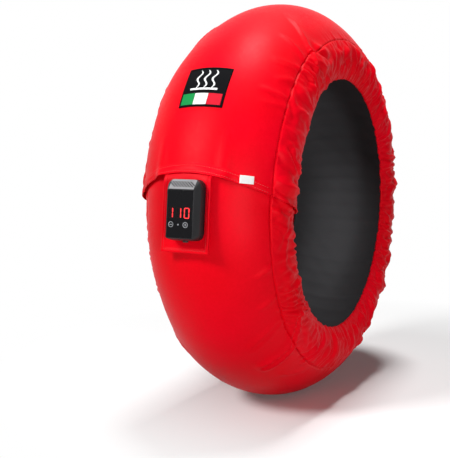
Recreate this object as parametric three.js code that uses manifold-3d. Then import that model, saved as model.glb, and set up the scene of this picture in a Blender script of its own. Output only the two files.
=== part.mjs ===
// Motorcycle tire warmer: a heated cloth cover worn round a rear tyre, with its controller.
// Millimetres, +Z up. The origin is the wheel's centre, X is the axle, and the front of the
// tread faces -Y. Angles round the wheel are in degrees, up from the front.
import * as THREE from "three";
import { mergeVertices } from "three/addons/utils/BufferGeometryUtils.js";
import Module from "manifold-3d";

const wasm = await Module();
wasm.setup();

// Cloth section, from the crown line to the hem
const CROWN_RADIUS = 333.5;
const TREAD_ARC = 125;
const SEAM_HALF_WIDTH = 104;
const HEM_HALF_WIDTH = 108;
const HEM_RADIUS = 208.7;
const SKIRT_FULLNESS = 20;
const SKIRT_SHOULDER_DROP = 23;

// Layers, from the outside in
const CLOTH = 1.2;
const WADDING = 5;
const HEATER_SPACE = 2;
const LINING = 1.2;
const GAP = 0.3;
const SEAM_GAP = 0.6;

// Overlap at the front: the lower end lies under the flap, which stands off by the lift
const LOWER_END_ANGLE = 26;
const FLAP_CROWN_ANGLE = 11;
const FLAP_SEAM_ANGLE = 6.5;
const FLAP_HEM_ANGLE = 0;
const OVERLAP_LIFT = 5;
const LIFT_FROM_ANGLE = 75;
const LIFT_TO_ANGLE = 36;
const WADDING_END_GAP = 4;

// Hook-and-loop closure
const STRIP_TOP_ANGLE = 24;
const STRIP_BOTTOM_ANGLE = 15;

// Gathers and folds
const GATHERS = 48;
const GATHER_DEPTH = 2.2;
const HEM_GATHER = 0.8;
const FLAP_GATHER_SHARE = 0.25;
const FOLD_RISE = 3;
const FOLD_ANGLES = [61, 52, -45];

// Folded hem and its elastic
const HEM_FOLD = 14;
const HEM_CHANNEL = 2.2;
const ELASTIC_WIDTH = 8;
const ELASTIC_THICKNESS = 1;

// Steps round the wheel and across the tread
const TREAD_STEPS = 72;
const LAYER_STEPS = 36;
const SKIRT_STEPS = GATHERS * 2;
const ARC_STEPS = 8;

// Heating tape and sensor
const TAPE_WIDTH = 6;
const TAPE_THICKNESS = 0.6;
const TAPE_CLEARANCE = 0.85;
const TAPE_MARGIN_STEPS = 1;
const SENSOR_RADIUS = 6;
const SENSOR_THICKNESS = 0.8;
const SENSOR_ANGLE = -9;

// Pad under the flap, and how it hangs
const PAD_WIDTH = 77;
const PAD_OFFSET = 0.5;
const PAD_STANDOFF = 5.5;
const PAD_TILT = 5.2;
const PAD_CENTRE_Z = 7;
const PAD_TOP_Z = 53;
const PAD_BOTTOM_Z = -49;
const PAD_THICKNESS = 1.2;
const PAD_TAB_TOP_ANGLE = 13.5;
const PAD_TAB_BELOW_FLAP = 0.6;
const PAD_TAB_GAP = 0.7;

// Controller case, in the pad's own plane
const CASE_OFFSET = 4.5;
const CASE_CENTRE_UP = 5;
const CASE_WIDTH = 54;
const CASE_HEIGHT = 86;
const CASE_DEPTH = 24;
const CASE_CORNER = 11;
const CASE_WALL = 2;
const SPLIT_DEPTH = 9;
const RIM_DEPTH = 14;
const SIDE_SLOPE = 5.25;
const TOP_SLOPE = 13.8;
const FOOT_SLOPE = 2.7;
const FACE_CORNER = 2.5;
const GASKET_THICKNESS = 1;
const GASKET_INSET = 0.3;
const RIB_COUNT = 9;
const RIB_SHARE = 0.5;
const RIB_DEPTH = 0.8;
const RIB_SLANT = 50;
const RIB_END_MARGIN = 2;

// What the case holds
const PLATE_SIDE_INSET = 1;
const PLATE_END_INSET = 5;
const PLATE_THICKNESS = 1.5;
const BOARD_THICKNESS = 1.6;
const BOARD_DEPTH = 5;
const BOARD_MARGIN = 1;
const SCREW_SIDE_INSET = 7.5;
const SCREW_END_INSET = 10;
const SCREW_SHANK = 1.3;
const SCREW_HEAD = 2.8;
const SCREW_HEAD_HEIGHT = 1.8;
const SCREW_CLEARANCE = 0.35;
const POST_WALL = 1.7;
const POST_ROOT = 1;
const PILOT_DEPTH = 1;
const LENS_THICKNESS = 1.2;
const LENS_MARGIN = 1.5;
const LENS_POCKET = 0.3;
const LIGHT_STANDOFF = 0.3;
const DISPLAY_WIDTH = 32;
const DISPLAY_HEIGHT = 17;
const LEAD_RADIUS = 3;
const LEAD_ANGLE = -4;
const INLET_RADIUS = 4;
const INLET_LENGTH = 5;
const INLET_SOCKET_RADIUS = 2.5;
const INLET_SOCKET_DEPTH = 4;

// Lit number and marks on the face, from its centre
const DIGIT_HEIGHT = 15;
const DIGIT_WIDTH = 8.5;
const DIGIT_STROKE = 1.5;
const DIGIT_PITCH = 13.2;
const DIGITS_OFFSET = -2;
const DIGITS_UP = 1.4;
const DIGIT_THICKNESS = 0.4;
const KEY_RADIUS = 4;
const KEY_STROKE = 0.8;
const KEY_SPREAD = 23.4;
const KEYS_DOWN = 15;
const STATUS_RADIUS = 1.1;
const RING_SIDES = 24;

// Badge and label
const BADGE_WIDTH = 68;
const BADGE_TOP_ANGLE = 39.4;
const BADGE_BOTTOM_ANGLE = 27.8;
const BADGE_THICKNESS = 1;
const FIELD_BORDER = 3;
const FIELD_SHARE = 0.27;
const FIELD_GAP = 0.4;
const PRINT_THICKNESS = 0.6;
const MARK_WAVES = 3;
const MARK_WIDTH = 3.2;
const MARK_SWAY = 2.6;
const MARK_PITCH = 12;
const LABEL_WIDTH = 15.5;
const LABEL_HEIGHT = 12.5;
const LABEL_OUT = 77;
const LABEL_THICKNESS = 0.6;

// How far a cutting tool runs past what it cuts: through a wall, or through one layer
const RUN_PAST = 4;
const SHORT_RUN = 1;

// Colours
const RED_CLOTH = material(0xe80014, 0.5, 0);
const DARK_CLOTH = material(0x1c1c1e, 0.9, 0);
const WHITE_CLOTH = material(0xe6e4e2, 0.8, 0);
const BLACK_PLASTIC = material(0x0c0c0e, 0.42, 0);
const GLOSS_BLACK = material(0x050608, 0.12, 0);
const GREY_MARK = material(0x8d9096, 0.5, 0);
const RED_LIGHT = material(0xff2a18, 0.4, 0);
const BOARD_GREEN = material(0x1d5a34, 0.5, 0);
const GREEN_PRINT = material(0x109a4c, 0.6, 0);
const RED_PRINT = material(0xd8122a, 0.6, 0);
const STEEL = material(0xb8bbc0, 0.3, 1);
const COPPER_TAPE = material(0xa8683a, 0.5, 0.6);
const RUBBER = material(0x161616, 0.85, 0);
const YELLOW_WADDING = material(0xd9d2b8, 0.95, 0);

const degrees = THREE.MathUtils.degToRad;
const lerp = THREE.MathUtils.lerp;
const model = new THREE.Group();

function material(color, roughness, metalness) {
  return new THREE.MeshStandardMaterial({ color, roughness, metalness });
}

function addPiece(parent, name, geometry, look) {
  const mesh = new THREE.Mesh(geometry, look);
  mesh.name = name;
  parent.add(mesh);
  return mesh;
}

// Boolean cuts and joins on closed meshes
function toSolid(geometry) {
  const bare = geometry.clone();
  bare.deleteAttribute("normal");
  bare.deleteAttribute("uv");
  const merged = mergeVertices(bare, 1e-4);
  const mesh = new wasm.Mesh({
    numProp: 3,
    vertProperties: new Float32Array(merged.attributes.position.array),
    triVerts: new Uint32Array(merged.index.array),
  });
  return new wasm.Manifold(mesh);
}

function toGeometry(solid) {
  const mesh = solid.getMesh();
  const geometry = new THREE.BufferGeometry();
  geometry.setAttribute("position", new THREE.BufferAttribute(mesh.vertProperties, 3));
  geometry.setIndex(new THREE.BufferAttribute(mesh.triVerts, 1));
  return geometry;
}

function cut(body, ...tools) {
  const solid = tools.reduce((rest, tool) => rest.subtract(toSolid(tool)), toSolid(body));
  return toGeometry(solid);
}

function join(first, ...others) {
  const solid = others.reduce((sum, other) => sum.add(toSolid(other)), toSolid(first));
  return toGeometry(solid);
}

function overlap(body, tool) {
  return toGeometry(toSolid(body).intersect(toSolid(tool)));
}

// A closed solid through a row of loops with equal point counts, capped at both ends
function loftSolid(loops, capOutline) {
  const count = loops[0].length;
  const positions = loops.flat().flatMap((point) => point.toArray());
  const index = [];
  for (let row = 0; row + 1 < loops.length; row += 1) {
    for (let column = 0; column < count; column += 1) {
      const next = (column + 1) % count;
      const a = row * count + column;
      const b = row * count + next;
      index.push(a, b, b + count);
      index.push(a, b + count, a + count);
    }
  }
  const last = (loops.length - 1) * count;
  const clockwise = THREE.ShapeUtils.isClockWise(capOutline);
  for (const face of THREE.ShapeUtils.triangulateShape(capOutline, [])) {
    const [a, b, c] = clockwise ? face.reverse() : face;
    index.push(b, a, c);
    index.push(last + a, last + b, last + c);
  }
  const geometry = new THREE.BufferGeometry();
  geometry.setAttribute("position", new THREE.Float32BufferAttribute(positions, 3));
  geometry.setIndex(index);
  return facingOut(geometry);
}

// Turns every face round if the closed mesh has its faces pointing in
function facingOut(geometry) {
  const points = geometry.attributes.position;
  const index = Array.from(geometry.index.array);
  const corner = [new THREE.Vector3(), new THREE.Vector3(), new THREE.Vector3()];
  let volume = 0;
  for (let face = 0; face < index.length; face += 3) {
    corner.forEach((point, k) => point.fromBufferAttribute(points, index[face + k]));
    volume += corner[0].dot(corner[1].clone().cross(corner[2]));
  }
  if (volume < 0) {
    geometry.setIndex(index.reverse());
  }
  return geometry;
}

// Layout of the cloth round the wheel
function roundWheel(x, radius, angle) {
  const turn = degrees(angle);
  return new THREE.Vector3(x, -radius * Math.cos(turn), radius * Math.sin(turn));
}

// How far the strip has lifted after a turn from its lower end
function liftAt(turned) {
  const from = LOWER_END_ANGLE + 360 - LIFT_FROM_ANGLE;
  const to = LOWER_END_ANGLE + 360 - LIFT_TO_ANGLE;
  return OVERLAP_LIFT * THREE.MathUtils.smoothstep(turned, from, to);
}

// Turn from the lower end to the flap's edge, on the tread and on the skirt
function flapAngle(x) {
  return lerp(FLAP_CROWN_ANGLE, FLAP_SEAM_ANGLE, (x / SEAM_HALF_WIDTH) ** 2);
}

function flapTurnOnTread(x) {
  return LOWER_END_ANGLE + 360 - flapAngle(x);
}

function flapTurnOnSkirt(down) {
  return LOWER_END_ANGLE + 360 - lerp(FLAP_SEAM_ANGLE, FLAP_HEM_ANGLE, down);
}

// Folds rise on the tread's shoulders and die out on the crown line
function foldRise(turned, sideways) {
  const angle = LOWER_END_ANGLE - turned;
  const width = 360 / TREAD_STEPS;
  const near = FOLD_ANGLES.map((fold) => {
    const apart = Math.abs(((angle - fold + 540) % 360) - 180);
    return Math.max(0, 1 - apart / width);
  });
  return FOLD_RISE * Math.max(...near) * Math.max(0, sideways) ** 2 * (1 - sideways ** 8);
}

// Tread section: the crown's arc, sunk under the outside of the cover
const SEAM_BEND = Math.asin(SEAM_HALF_WIDTH / TREAD_ARC);

function treadPoint(bend, sunk) {
  const arc = TREAD_ARC - sunk;
  return new THREE.Vector2(arc * Math.sin(bend), CROWN_RADIUS - TREAD_ARC + arc * Math.cos(bend));
}

function arcBends(trim, steps = ARC_STEPS) {
  const bends = [];
  for (let step = 0; step <= steps; step += 1) {
    const bend = lerp(-SEAM_BEND, SEAM_BEND, step / steps);
    const most = SEAM_BEND - trim / TREAD_ARC;
    bends.push(THREE.MathUtils.clamp(bend, -most, most));
  }
  return bends;
}

// A layer of the tread between two depths, at the given turns from the lower end
function treadLayer(turns, bends, outer, inner, turnOf, riseOf) {
  const outline = [];
  bends.forEach((bend) => outline.push(treadPoint(bend, outer)));
  [...bends].reverse().forEach((bend) => outline.push(treadPoint(bend, inner)));
  const loops = turns.map((turned) => {
    const loop = [];
    const place = (bend, depth) => {
      const x = treadPoint(bend, 0).x;
      const turn = turnOf(turned, x);
      const spot = treadPoint(bend, depth - liftAt(turn) - riseOf(turn, bend / SEAM_BEND));
      loop.push(roundWheel(spot.x, spot.y, LOWER_END_ANGLE - turn));
    };
    bends.forEach((bend) => place(bend, outer));
    [...bends].reverse().forEach((bend) => place(bend, inner));
    return loop;
  });
  return loftSolid(loops, outline);
}

function evenTurns(from, to, step) {
  const turns = [];
  for (let turned = from; turned <= to + 1e-6; turned += step) {
    turns.push(turned);
  }
  return turns;
}

const noRise = () => 0;
const plainTurn = (turned) => turned;

// The last two steps spread out to the flap's slanting edge
function makeTreadCover() {
  const step = 360 / TREAD_STEPS;
  const crownEdge = flapTurnOnTread(0);
  const whole = Math.floor((crownEdge - 1) / step) * step;
  const turns = [...evenTurns(0, whole, step), (whole + crownEdge) / 2, crownEdge];
  const turnOf = (turned, x) => {
    const share = Math.max(0, (turned - whole) / (crownEdge - whole));
    return share > 0 ? lerp(whole, flapTurnOnTread(x), share) : turned;
  };
  return treadLayer(turns, arcBends(SEAM_GAP / 2), 0, CLOTH, turnOf, foldRise);
}

const WADDING_DEPTH = CLOTH + GAP;
const TAPE_SPACE_DEPTH = WADDING_DEPTH + WADDING;
const LINING_DEPTH = TAPE_SPACE_DEPTH + HEATER_SPACE;
const LAYER_STEP = 360 / LAYER_STEPS;
const LAYER_END = Math.floor((360 - WADDING_END_GAP) / LAYER_STEP) * LAYER_STEP;
const layerTurns = [...evenTurns(0, LAYER_END, LAYER_STEP), 360 - WADDING_END_GAP];

function makeInsulation() {
  const depth = WADDING_DEPTH;
  return treadLayer(layerTurns, arcBends(SEAM_GAP / 2), depth, depth + WADDING, plainTurn, noRise);
}

function makeLining() {
  const depth = LINING_DEPTH;
  return treadLayer(layerTurns, arcBends(SEAM_GAP / 2), depth, depth + LINING, plainTurn, noRise);
}

// The heating tape crosses the tread at every step and runs on along one edge in turn
function makeHeatingTape() {
  const bends = arcBends(0).slice(TAPE_MARGIN_STEPS, ARC_STEPS + 1 - TAPE_MARGIN_STEPS);
  const turns = layerTurns.slice(1, -2);
  const route = [];
  turns.forEach((turned, pass) => {
    const across = pass % 2 === 0 ? bends : [...bends].reverse();
    across.forEach((bend) => route.push({ turned, bend }));
  });
  const half = TAPE_WIDTH / 2;
  const flat = (stop) => new THREE.Vector2(degrees(stop.turned) * CROWN_RADIUS, stop.bend * TREAD_ARC);
  const loops = route.map((stop, k) => {
    const before = flat(route[Math.max(k - 1, 0)]);
    const after = flat(route[Math.min(k + 1, route.length - 1)]);
    const here = flat(stop);
    const into = here.clone().sub(before).normalize();
    const out = after.clone().sub(here).normalize();
    const along = into.add(out).normalize();
    const turnsHere = Math.abs(along.x) > 0.01 && Math.abs(along.y) > 0.01;
    const reach = turnsHere ? half * Math.SQRT2 : half;
    const corner = (side, depth) => {
      const turned = stop.turned + THREE.MathUtils.radToDeg((-along.y * side * reach) / CROWN_RADIUS);
      const bend = stop.bend + (along.x * side * reach) / TREAD_ARC;
      const spot = treadPoint(bend, depth - liftAt(turned));
      return roundWheel(spot.x, spot.y, LOWER_END_ANGLE - turned);
    };
    const top = TAPE_SPACE_DEPTH + TAPE_CLEARANCE;
    const low = top + TAPE_THICKNESS;
    return [corner(-1, top), corner(1, top), corner(1, low), corner(-1, low)];
  });
  const outline = [[0, 0], [1, 0], [1, 1], [0, 1]].map((pair) => new THREE.Vector2(...pair));
  return loftSolid(loops, outline);
}

// The sensor lies flat between two passes of the tape, in the middle of a facet beside the crown
function makeSensor() {
  const before = Math.floor((LOWER_END_ANGLE - SENSOR_ANGLE) / LAYER_STEP) * LAYER_STEP;
  const bends = arcBends(0).slice(ARC_STEPS / 2, ARC_STEPS / 2 + 2);
  const depth = TAPE_SPACE_DEPTH + HEATER_SPACE / 2;
  const corners = bends.flatMap((bend) => [before, before + LAYER_STEP].map((turned) => {
    const spot = treadPoint(bend, depth);
    return roundWheel(spot.x, spot.y, LOWER_END_ANGLE - turned);
  }));
  const centre = corners.reduce((sum, corner) => sum.add(corner), new THREE.Vector3()).divideScalar(4);
  const along = corners[1].clone().sub(corners[0]);
  const across = corners[2].clone().sub(corners[0]);
  const out = along.cross(across).normalize();
  const disc = rod(SENSOR_RADIUS, -SENSOR_THICKNESS / 2, SENSOR_THICKNESS / 2, 0, 0);
  const turn = new THREE.Quaternion().setFromUnitVectors(new THREE.Vector3(0, 0, 1), out);
  return disc.applyQuaternion(turn).translate(centre.x, centre.y, centre.z);
}

// Skirt section: a full curve from the seam to the hem, folded back over the elastic
const seamSpot = treadPoint(SEAM_BEND, 0);
const skirtCurve = new THREE.CubicBezierCurve(
  seamSpot,
  new THREE.Vector2(SEAM_HALF_WIDTH + SKIRT_FULLNESS, seamSpot.y - SKIRT_SHOULDER_DROP),
  new THREE.Vector2(SEAM_HALF_WIDTH + SKIRT_FULLNESS, HEM_RADIUS + SKIRT_SHOULDER_DROP),
  new THREE.Vector2(HEM_HALF_WIDTH, HEM_RADIUS),
);

// A point of the skirt: how far down from seam to hem, how far past that, how deep inside
function skirtPoint(down, past, depth) {
  const spot = skirtCurve.getPointAt(down);
  const along = skirtCurve.getTangentAt(down);
  return spot.addScaledVector(along, past).addScaledVector(skirtOut(down), -depth);
}

function skirtOut(down) {
  const along = skirtCurve.getTangentAt(down);
  return new THREE.Vector2(-along.y, along.x);
}

// Share of the way down at a length above the hem
function aboveHem(length) {
  return 1 - length / skirtCurve.getLength();
}

const FOLD_TOP = aboveHem(HEM_FOLD);
const SKIRT_ROWS = [0, 0.3, 0.6, FOLD_TOP];
const HEM_INSIDE = CLOTH + HEM_CHANNEL;
const HEM_ROUND = HEM_INSIDE / 2;

const skirtOutline = [
  ...SKIRT_ROWS.map((down) => ({ down, past: 0, depth: 0 })),
  { down: 1, past: 0, depth: 0 },
  { down: 1, past: HEM_ROUND, depth: HEM_ROUND },
  { down: 1, past: 0, depth: HEM_INSIDE + CLOTH },
  { down: FOLD_TOP, past: 0, depth: HEM_INSIDE + CLOTH },
  { down: FOLD_TOP, past: 0, depth: HEM_INSIDE },
  { down: 1, past: 0, depth: HEM_INSIDE },
  { down: 1, past: 0, depth: CLOTH },
  ...[...SKIRT_ROWS].reverse().map((down) => ({ down, past: 0, depth: CLOTH })),
];

const skirtTurns = (() => {
  const step = 360 / SKIRT_STEPS;
  const whole = Math.floor((flapTurnOnTread(0) - 1) / step);
  const most = Math.ceil((LOWER_END_ANGLE + 360 - FLAP_HEM_ANGLE) / step);
  const turns = [];
  for (let count = 0; count <= most; count += 1) {
    const past = (count - whole) / (most - whole);
    turns.push({ count, turned: count * step, start: whole * step, past });
  }
  return turns;
})();

// The last steps spread between the last whole step and the flap's slanting edge
function skirtTurn(stop, down) {
  return stop.past <= 0 ? stop.turned : lerp(stop.start, flapTurnOnSkirt(down), stop.past);
}

// Gathers stand in and out by turns, deepest low on the skirt and flatter on the flap
function gatherOut(stop, down) {
  const depth = down < FOLD_TOP ? GATHER_DEPTH * Math.sin(down * Math.PI * 0.7) : HEM_GATHER;
  const fade = lerp(1, FLAP_GATHER_SHARE, THREE.MathUtils.smoothstep(stop.turned, 330, 360));
  const way = stop.count % 2 === 0 ? 1 : -1;
  return way * depth * fade;
}

// The skirt lifts with the tread at the seam, and square to itself from the first row down
function liftWay(down) {
  const seamOut = new THREE.Vector2(Math.sin(SEAM_BEND), Math.cos(SEAM_BEND));
  return seamOut.lerp(skirtOut(down), Math.min(1, down / SKIRT_ROWS[1])).normalize();
}

function skirtSpot(side, stop, point) {
  const turned = skirtTurn(stop, point.down);
  const inset = point.down === 0 ? SEAM_GAP / 2 : 0;
  const spot = skirtPoint(point.down, point.past + inset, point.depth - gatherOut(stop, point.down));
  spot.addScaledVector(liftWay(point.down), liftAt(turned));
  return roundWheel(side * spot.x, spot.y, LOWER_END_ANGLE - turned);
}

function sweepSkirt(side, outline) {
  const flat = outline.map((point) => skirtPoint(point.down, point.past, point.depth));
  const loops = skirtTurns.map((stop) => outline.map((point) => skirtSpot(side, stop, point)));
  return loftSolid(loops, flat);
}

function elasticOutline() {
  const outside = CLOTH + (HEM_CHANNEL - ELASTIC_THICKNESS) / 2;
  const inside = outside + ELASTIC_THICKNESS;
  const low = aboveHem(GAP);
  const high = aboveHem(GAP + ELASTIC_WIDTH);
  return [
    { down: high, past: 0, depth: outside },
    { down: low, past: 0, depth: outside },
    { down: low, past: 0, depth: inside },
    { down: high, past: 0, depth: inside },
  ];
}

function buildCloth() {
  const cloth = new THREE.Group();
  addPiece(cloth, "skirt_right", sweepSkirt(1, skirtOutline), RED_CLOTH);
  addPiece(cloth, "skirt_left", sweepSkirt(-1, skirtOutline), RED_CLOTH);
  addPiece(cloth, "elastic_right", sweepSkirt(1, elasticOutline()), WHITE_CLOTH);
  addPiece(cloth, "elastic_left", sweepSkirt(-1, elasticOutline()), WHITE_CLOTH);
  addPiece(cloth, "tread_cover", cut(makeTreadCover(), leadTool(SCREW_CLEARANCE)), RED_CLOTH);
  addPiece(cloth, "insulation", cut(makeInsulation(), leadTool(SCREW_CLEARANCE)), YELLOW_WADDING);
  addPiece(cloth, "heating_element", makeHeatingTape(), COPPER_TAPE);
  addPiece(cloth, "temperature_sensor", makeSensor(), STEEL);
  addPiece(cloth, "inner_lining", makeLining(), DARK_CLOTH);
  model.add(cloth);
}

// Hook-and-loop strips fill the space between the flap and the lower end
const STRIP_THICKNESS = (OVERLAP_LIFT - CLOTH - 3 * GAP) / 2;

function makeStrip(outer) {
  const step = 360 / TREAD_STEPS;
  const first = Math.ceil((LOWER_END_ANGLE - STRIP_TOP_ANGLE) / step) * step;
  const turns = evenTurns(first, LOWER_END_ANGLE - STRIP_BOTTOM_ANGLE, step);
  const bends = arcBends(0).slice(1, -1);
  return treadLayer(turns, bends, outer, outer + STRIP_THICKNESS, plainTurn, noRise);
}

function buildClosure() {
  const closure = new THREE.Group();
  const loopTop = -GAP - STRIP_THICKNESS;
  addPiece(closure, "loop_strip", makeStrip(loopTop), DARK_CLOTH);
  addPiece(closure, "hook_strip", makeStrip(loopTop - GAP - STRIP_THICKNESS), DARK_CLOTH);
  model.add(closure);
}

// Patches that lie on the lifted tread: from one angle up to another, between two widths
function patch(left, right, bottom, top, under, thickness, columns, rows) {
  const surface = -under;
  const lane = (x) => Math.asin(x / TREAD_ARC);
  const bends = [];
  for (let column = 0; column <= columns; column += 1) {
    bends.push(lane(lerp(left, right, column / columns)));
  }
  const turns = [];
  for (let row = 0; row <= rows; row += 1) {
    turns.push(LOWER_END_ANGLE + 360 - lerp(top, bottom, row / rows));
  }
  return treadLayer(turns, bends, surface - thickness, surface, plainTurn, noRise);
}

const BADGE_UNDER = GAP;
const PRINT_UNDER = BADGE_UNDER + BADGE_THICKNESS + GAP;
const anglePerLength = THREE.MathUtils.radToDeg(1 / (CROWN_RADIUS + OVERLAP_LIFT));

function buildBadge() {
  const badge = new THREE.Group();
  const half = BADGE_WIDTH / 2;
  const base = patch(-half, half, BADGE_BOTTOM_ANGLE, BADGE_TOP_ANGLE, BADGE_UNDER, BADGE_THICKNESS, 6, 3);
  addPiece(badge, "badge_patch", base, BLACK_PLASTIC);
  const tall = BADGE_TOP_ANGLE - BADGE_BOTTOM_ANGLE;
  const low = BADGE_BOTTOM_ANGLE + FIELD_BORDER * anglePerLength;
  const high = low + tall * FIELD_SHARE;
  const inner = BADGE_WIDTH - 2 * FIELD_BORDER;
  const looks = { green: GREEN_PRINT, white: WHITE_CLOTH, red: RED_PRINT };
  Object.entries(looks).forEach(([name, look], place) => {
    const left = -inner / 2 + (inner * place) / 3 + FIELD_GAP / 2;
    const right = left + inner / 3 - FIELD_GAP;
    const field = patch(left, right, low, high, PRINT_UNDER, PRINT_THICKNESS, 2, 1);
    addPiece(badge, `badge_${name}_field`, field, look);
  });
  addPiece(badge, "badge_mark", makeBadgeMark(high), WHITE_CLOTH);
  model.add(badge);
}

// Three plain waves, as rising heat is drawn, over a bar
function makeBadgeMark(fieldsTop) {
  const base = fieldsTop + 2 * FIELD_BORDER * anglePerLength;
  const top = BADGE_TOP_ANGLE - 2 * FIELD_BORDER * anglePerLength;
  const barTop = base + MARK_WIDTH * anglePerLength;
  const waveFoot = (base + barTop) / 2;
  const reach = (MARK_PITCH * MARK_WAVES) / 2 + MARK_WIDTH;
  const bar = patch(-reach, reach, base, barTop, PRINT_UNDER, PRINT_THICKNESS, 4, 1);
  const waves = [];
  for (let wave = 0; wave < MARK_WAVES; wave += 1) {
    waves.push(makeWave((wave - (MARK_WAVES - 1) / 2) * MARK_PITCH, waveFoot, top));
  }
  return join(bar, ...waves);
}

function makeWave(centre, bottom, top) {
  const steps = 12;
  const surface = -PRINT_UNDER;
  const loops = [];
  for (let step = 0; step <= steps; step += 1) {
    const share = step / steps;
    const sway = MARK_SWAY * Math.sin(share * Math.PI * 3);
    const turned = LOWER_END_ANGLE + 360 - lerp(bottom, top, share);
    const corner = (x, depth) => {
      const spot = treadPoint(Math.asin(x / TREAD_ARC), depth - liftAt(turned));
      return roundWheel(spot.x, spot.y, LOWER_END_ANGLE - turned);
    };
    const left = centre + sway - MARK_WIDTH / 2;
    const right = left + MARK_WIDTH;
    const proud = surface - PRINT_THICKNESS;
    loops.push([corner(left, proud), corner(right, proud), corner(right, surface), corner(left, surface)]);
  }
  const outline = [[0, 1], [1, 1], [1, 0], [0, 0]].map((pair) => new THREE.Vector2(...pair));
  return loftSolid(loops, outline);
}

function buildLabel() {
  const left = LABEL_OUT - LABEL_WIDTH / 2;
  const right = LABEL_OUT + LABEL_WIDTH / 2;
  const edge = LOWER_END_ANGLE + 360 - flapTurnOnTread(left);
  const low = edge - anglePerLength;
  const high = low + LABEL_HEIGHT * anglePerLength;
  const label = patch(left, right, low, high, GAP, LABEL_THICKNESS, 2, 2);
  addPiece(model, "size_label", label, WHITE_CLOTH);
}

// The pad's plane leans out towards its foot, and the controller sits on it
const CROWN_FRONT = CROWN_RADIUS + PAD_STANDOFF;
const padFrame = new THREE.Group();
padFrame.position.set(PAD_OFFSET, -CROWN_FRONT, PAD_CENTRE_Z);
padFrame.rotation.x = Math.PI / 2 - degrees(PAD_TILT);
padFrame.updateMatrixWorld(true);

function inWorld(geometry) {
  return geometry.clone().applyMatrix4(padFrame.matrixWorld);
}

function rod(radius, from, to, x, y, sides = 16) {
  const geometry = new THREE.CylinderGeometry(radius, radius, to - from, sides);
  geometry.rotateX(Math.PI / 2);
  return geometry.translate(x, y, (from + to) / 2);
}

// The lead leaves the case's back, at a pass of the heating tape
const LEAD_UP = (CROWN_RADIUS * Math.sin(degrees(LEAD_ANGLE)) - PAD_CENTRE_Z) / Math.cos(degrees(PAD_TILT));
const LEAD_FRONT = CASE_WALL + GAP + 1;
const LEAD_BACK = CROWN_FRONT + LEAD_UP * Math.sin(degrees(PAD_TILT)) * -1;

function leadRod(extra) {
  const skin = CROWN_RADIUS * Math.cos(degrees(LEAD_ANGLE)) - TAPE_SPACE_DEPTH;
  const deep = (LEAD_BACK - skin) / Math.cos(degrees(PAD_TILT));
  const past = extra > 0 ? 2 * SHORT_RUN : 0;
  return rod(LEAD_RADIUS + extra, -deep - past, LEAD_FRONT + past, -PAD_OFFSET, LEAD_UP, 12);
}

function leadTool(extra) {
  return inWorld(leadRod(extra));
}

// The pad: two rows under the flap on the crown's own curve, then flat down to its foot
function makePad() {
  const columns = 6;
  const radius = CROWN_RADIUS + PAD_TAB_GAP + PAD_THICKNESS;
  const tabSpot = (x, angle) => {
    const drop = TREAD_ARC - Math.sqrt(TREAD_ARC ** 2 - x ** 2);
    return roundWheel(x, radius - drop, angle);
  };
  const flatSpot = (x, z) => {
    const lean = (z - PAD_CENTRE_Z) * Math.tan(degrees(PAD_TILT));
    return new THREE.Vector3(x, lean - CROWN_FRONT, z);
  };
  const rows = [
    (x) => tabSpot(x, PAD_TAB_TOP_ANGLE),
    (x) => tabSpot(x, flapAngle(x) - PAD_TAB_BELOW_FLAP),
    (x) => flatSpot(x, PAD_TOP_Z),
    (x) => flatSpot(x, PAD_BOTTOM_Z),
  ];
  const outline = [];
  for (let column = 0; column <= columns; column += 1) {
    outline.push(new THREE.Vector2(column, 1));
  }
  for (let column = columns; column >= 0; column -= 1) {
    outline.push(new THREE.Vector2(column, 0));
  }
  const loops = rows.map((place) => outline.map((spot) => {
    const point = place(PAD_OFFSET + PAD_WIDTH * (spot.x / columns - 0.5));
    point.y += (1 - spot.y) * PAD_THICKNESS;
    return point;
  }));
  return loftSolid(loops, outline);
}

// Outlines and solids in the pad's plane
function roundedOutline(width, height, radius, centreX, centreY) {
  const corners = [[1, 1], [-1, 1], [-1, -1], [1, -1]];
  const steps = 4;
  return corners.flatMap(([sideX, sideY], quarter) => {
    const points = [];
    for (let step = 0; step <= steps; step += 1) {
      const turn = (Math.PI / 2) * (quarter + step / steps);
      const x = centreX + sideX * (width / 2 - radius) + radius * Math.cos(turn);
      const y = centreY + sideY * (height / 2 - radius) + radius * Math.sin(turn);
      points.push(new THREE.Vector2(x, y));
    }
    return points;
  });
}

function slab(outline, from, to) {
  const options = { depth: to - from, bevelEnabled: false };
  return new THREE.ExtrudeGeometry(new THREE.Shape(outline), options).translate(0, 0, from);
}

function stackOutlines(levels) {
  const loops = levels.map(({ outline, depth }) => outline.map(({ x, y }) => new THREE.Vector3(x, y, depth)));
  return loftSolid(loops, levels[0].outline);
}

function block(width, height, from, to, x, y) {
  return new THREE.BoxGeometry(width, height, to - from).translate(x, y, (from + to) / 2);
}

const screwSpots = [[-1, 1], [1, 1], [-1, -1], [1, -1]].map(([sideX, sideY]) => ({
  x: CASE_OFFSET + sideX * (CASE_WIDTH / 2 - SCREW_SIDE_INSET),
  y: CASE_CENTRE_UP + sideY * (CASE_HEIGHT / 2 - SCREW_END_INSET),
}));

const CASE_BACK = GAP;
const FACE_WIDTH = CASE_WIDTH - 2 * SIDE_SLOPE;
const FACE_HEIGHT = CASE_HEIGHT - TOP_SLOPE - FOOT_SLOPE;
const FACE_UP = CASE_CENTRE_UP + (FOOT_SLOPE - TOP_SLOPE) / 2;
const SPLIT_FRONT = SPLIT_DEPTH + GASKET_THICKNESS + 2 * GAP;
const BOARD_FRONT = BOARD_DEPTH + BOARD_THICKNESS;

function caseOutline(inset) {
  const width = CASE_WIDTH - 2 * inset;
  const height = CASE_HEIGHT - 2 * inset;
  return roundedOutline(width, height, CASE_CORNER - inset, CASE_OFFSET, CASE_CENTRE_UP);
}

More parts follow.
